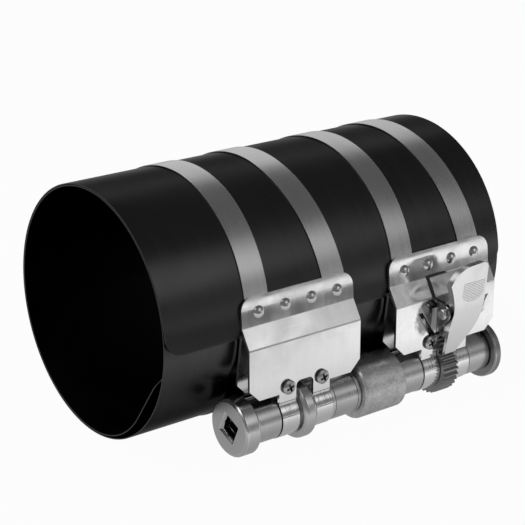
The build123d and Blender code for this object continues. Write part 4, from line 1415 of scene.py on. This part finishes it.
@dataclass(frozen=True)
class Patch:
    """Bright part of the surroundings with soft borders; its angles are in degrees."""

    azimuth: float
    half_width: float
    low: float
    high: float
    tone: float
    side_blur: float = 8.0
    low_blur: float = 8.0
    high_blur: float = 4.0

    def mask(self, g: Graph, x: Socket, y: Socket, up: Socket) -> Socket:
        """How bright the patch is in a direction.

        Args:
            g: the world's graph.
            x: the direction's X.
            y: its Y.
            up: its Z.

        Returns:
            The patch's tone, 0 outside it.
        """
        middle = math.radians(self.azimuth)
        ahead = g.plus(g.times(x, math.sin(middle)), g.times(y, math.cos(middle)))
        aside = g.minus(g.times(x, math.cos(middle)), g.times(y, math.sin(middle)))
        off = g.math("ABSOLUTE", g.math("ARCTAN2", aside, ahead))
        height = g.math("ARCSINE", up)
        sides = self.border(g, off, self.half_width, -self.side_blur)
        bottom = self.border(g, height, self.low, self.low_blur)
        top = self.border(g, height, self.high, -self.high_blur)
        return g.times(g.times(sides, self.tone), g.times(bottom, top))

    @staticmethod
    def border(g: Graph, value: Socket, angle: float, blur: float) -> Socket:
        """Soft step at an angle; a negative blur makes it fall instead of rise."""
        return g.ramp(value, math.radians(angle - blur / 2), math.radians(angle + blur / 2))


@dataclass(frozen=True)
class Studio:
    """White table, soft lamps and the camera at the photograph's angle.

    In the metal the table shows a painted reflection: a white sheet with a dark room round it,
    a painted shadow near the object and painted light that falls off to the left. Each field of the
    sheet gives the range along an axis over which it fades, and the last two also the tones
    at the range's ends.
    """

    camera_place: Place = (-0.28592, -0.46675, 0.21093)
    camera_azimuth: float = 217.73
    camera_elevation: float = 19.48
    lens: float = 115.91
    sensor: float = 36.0
    clip: Flat = (0.01, 20.0)
    table_size: float = 6.0
    table_grey: float = 0.93
    glow: float = 0.96
    sheet_front: Flat = (-0.152, -0.132)
    sheet_right: Flat = (0.29, 0.33)
    # Painted shadow near the object, and painted light falling off to the left, both seen only in reflections.
    painted_shadow_near_object: tuple[float, ...] = (-0.1, -0.055, 1.0, 0.5)
    painted_light_falloff_left: tuple[float, ...] = (0.1, 0.15, 0.82, 1.0)
    room_tone: float = 0.14
    sky_rise: Flat = (0.1, 0.8)
    sky_tones: Flat = (0.22, 0.12)
    patches: tuple[Patch, ...] = (
        Patch(azimuth=158.5, half_width=22.5, low=16.0, high=45.0, tone=0.92, side_blur=6.0, low_blur=12.0),
        Patch(azimuth=-60.0, half_width=50.0, low=35.0, high=80.0, tone=0.9, side_blur=20.0, high_blur=10.0),
        Patch(azimuth=34.0, half_width=34.0, low=-10.0, high=43.0, tone=0.68, side_blur=20.0, high_blur=10.0),
    )
    lamps: tuple[Lamp, ...] = (
        Lamp("soft_box_left", azimuth=-85.0, elevation=50.0, away=1.0, size=(0.7, 0.55), radiance=1.3),
        Lamp("strip_light_back", azimuth=-20.0, elevation=62.0, away=1.2, size=(0.5, 0.2), radiance=1.5),
    )

    def camera(self) -> None:
        """Places the camera."""
        data = bpy.data.cameras.new("camera")
        data.lens, data.sensor_width = self.lens, self.sensor
        data.clip_start, data.clip_end = self.clip
        back = compass(self.camera_azimuth, self.camera_elevation)
        bpy.context.scene.camera = aimed("camera", data, Vector(self.camera_place), back)

    def table(self) -> None:
        """Lays the white table under the object; the camera sees it almost pure white, and glossy rays see a
        painted reflection on it.
        """
        mesh = bpy.data.meshes.new("table")
        half = self.table_size / 2
        corners = [(x * half, y * half, CAD_BOX[0].z) for x, y in ((-1, -1), (1, -1), (1, 1), (-1, 1))]
        mesh.from_pydata(corners, [], [range(len(corners))])
        made = bpy.data.materials.new("white table")
        made.use_nodes = True
        nodes = made.node_tree.nodes
        nodes.remove(nodes["Principled BSDF"])
        g = Graph(made.node_tree)
        x, y, _ = g.axes(g.here())
        # Painted reflection for glossy rays: the white sheet with a painted shadow near the object and painted
        # light falling off to the left, fading to a dark room.
        beyond = g.math("MAXIMUM", g.ramp(y, *self.sheet_front), g.ramp(x, *self.sheet_right))
        painted_shadow_and_falloff = g.times(g.ramp(y, *self.painted_shadow_near_object), g.ramp(x, *self.painted_light_falloff_left))
        tone = g.math("MAXIMUM", self.room_tone, g.times(beyond, painted_shadow_and_falloff))
        paper = g.out("ShaderNodeBsdfDiffuse", {"Color": (*[self.table_grey] * 3, 1.0)})
        painted_reflection = g.out("ShaderNodeEmission", {"Color": g.grey(tone), "Strength": 1.0})
        white = g.out("ShaderNodeEmission", {"Color": (1.0, 1.0, 1.0, 1.0), "Strength": 1.0})
        path = g.node("ShaderNodeLightPath")
        seen = paper
        for ray, glow in (("Is Glossy Ray", painted_reflection), ("Is Camera Ray", white)):
            seen = g.out("ShaderNodeMixShader", {0: g.times(path.outputs[ray], self.glow), 1: seen, 2: glow})
        g.feed(nodes["Material Output"].inputs["Surface"], seen)
        mesh.materials.append(made)
        placed("table", mesh)

    def world(self) -> None:
        """Sets the surroundings: dim overhead, a little paler at the horizon, with bright patches."""
        made = bpy.data.worlds.new("studio")
        made.use_nodes = True
        g = Graph(made.node_tree)
        x, y, up = g.axes(g.node("ShaderNodeTexCoord").outputs["Generated"])
        tone = g.ramp(up, *self.sky_rise, *self.sky_tones)
        for patch in self.patches:
            tone = g.math("MAXIMUM", tone, patch.mask(g, x, y, up))
        background = made.node_tree.nodes["Background"].inputs
        g.feed(background["Color"], g.grey(tone))
        background["Strength"].default_value = 1.0
        bpy.context.scene.world = made

    def build(self) -> None:
        """Sets the stage."""
        self.camera()
        self.table()
        self.world()
        for lamp in self.lamps:
            lamp.hang()
        bpy.context.scene.view_settings.view_transform = "Standard"
        LOG.info("studio: camera, table, world and %d lamps", len(self.lamps))


def main() -> None:
    """Builds the tool piece by piece, then the studio."""
    trees, finishes = Trees(), Finishes()
    sleeve = WoundSleeve(trees, finishes)
    sleeve.build()
    TensionBands(trees, finishes, sleeve).build()
    for part in (Brackets, Spool, Pawl):
        part(trees, finishes).build()
    Studio().build()


if __name__ == "__main__":
    logging.basicConfig(level=logging.INFO, format="%(name)s: %(message)s")
    main()
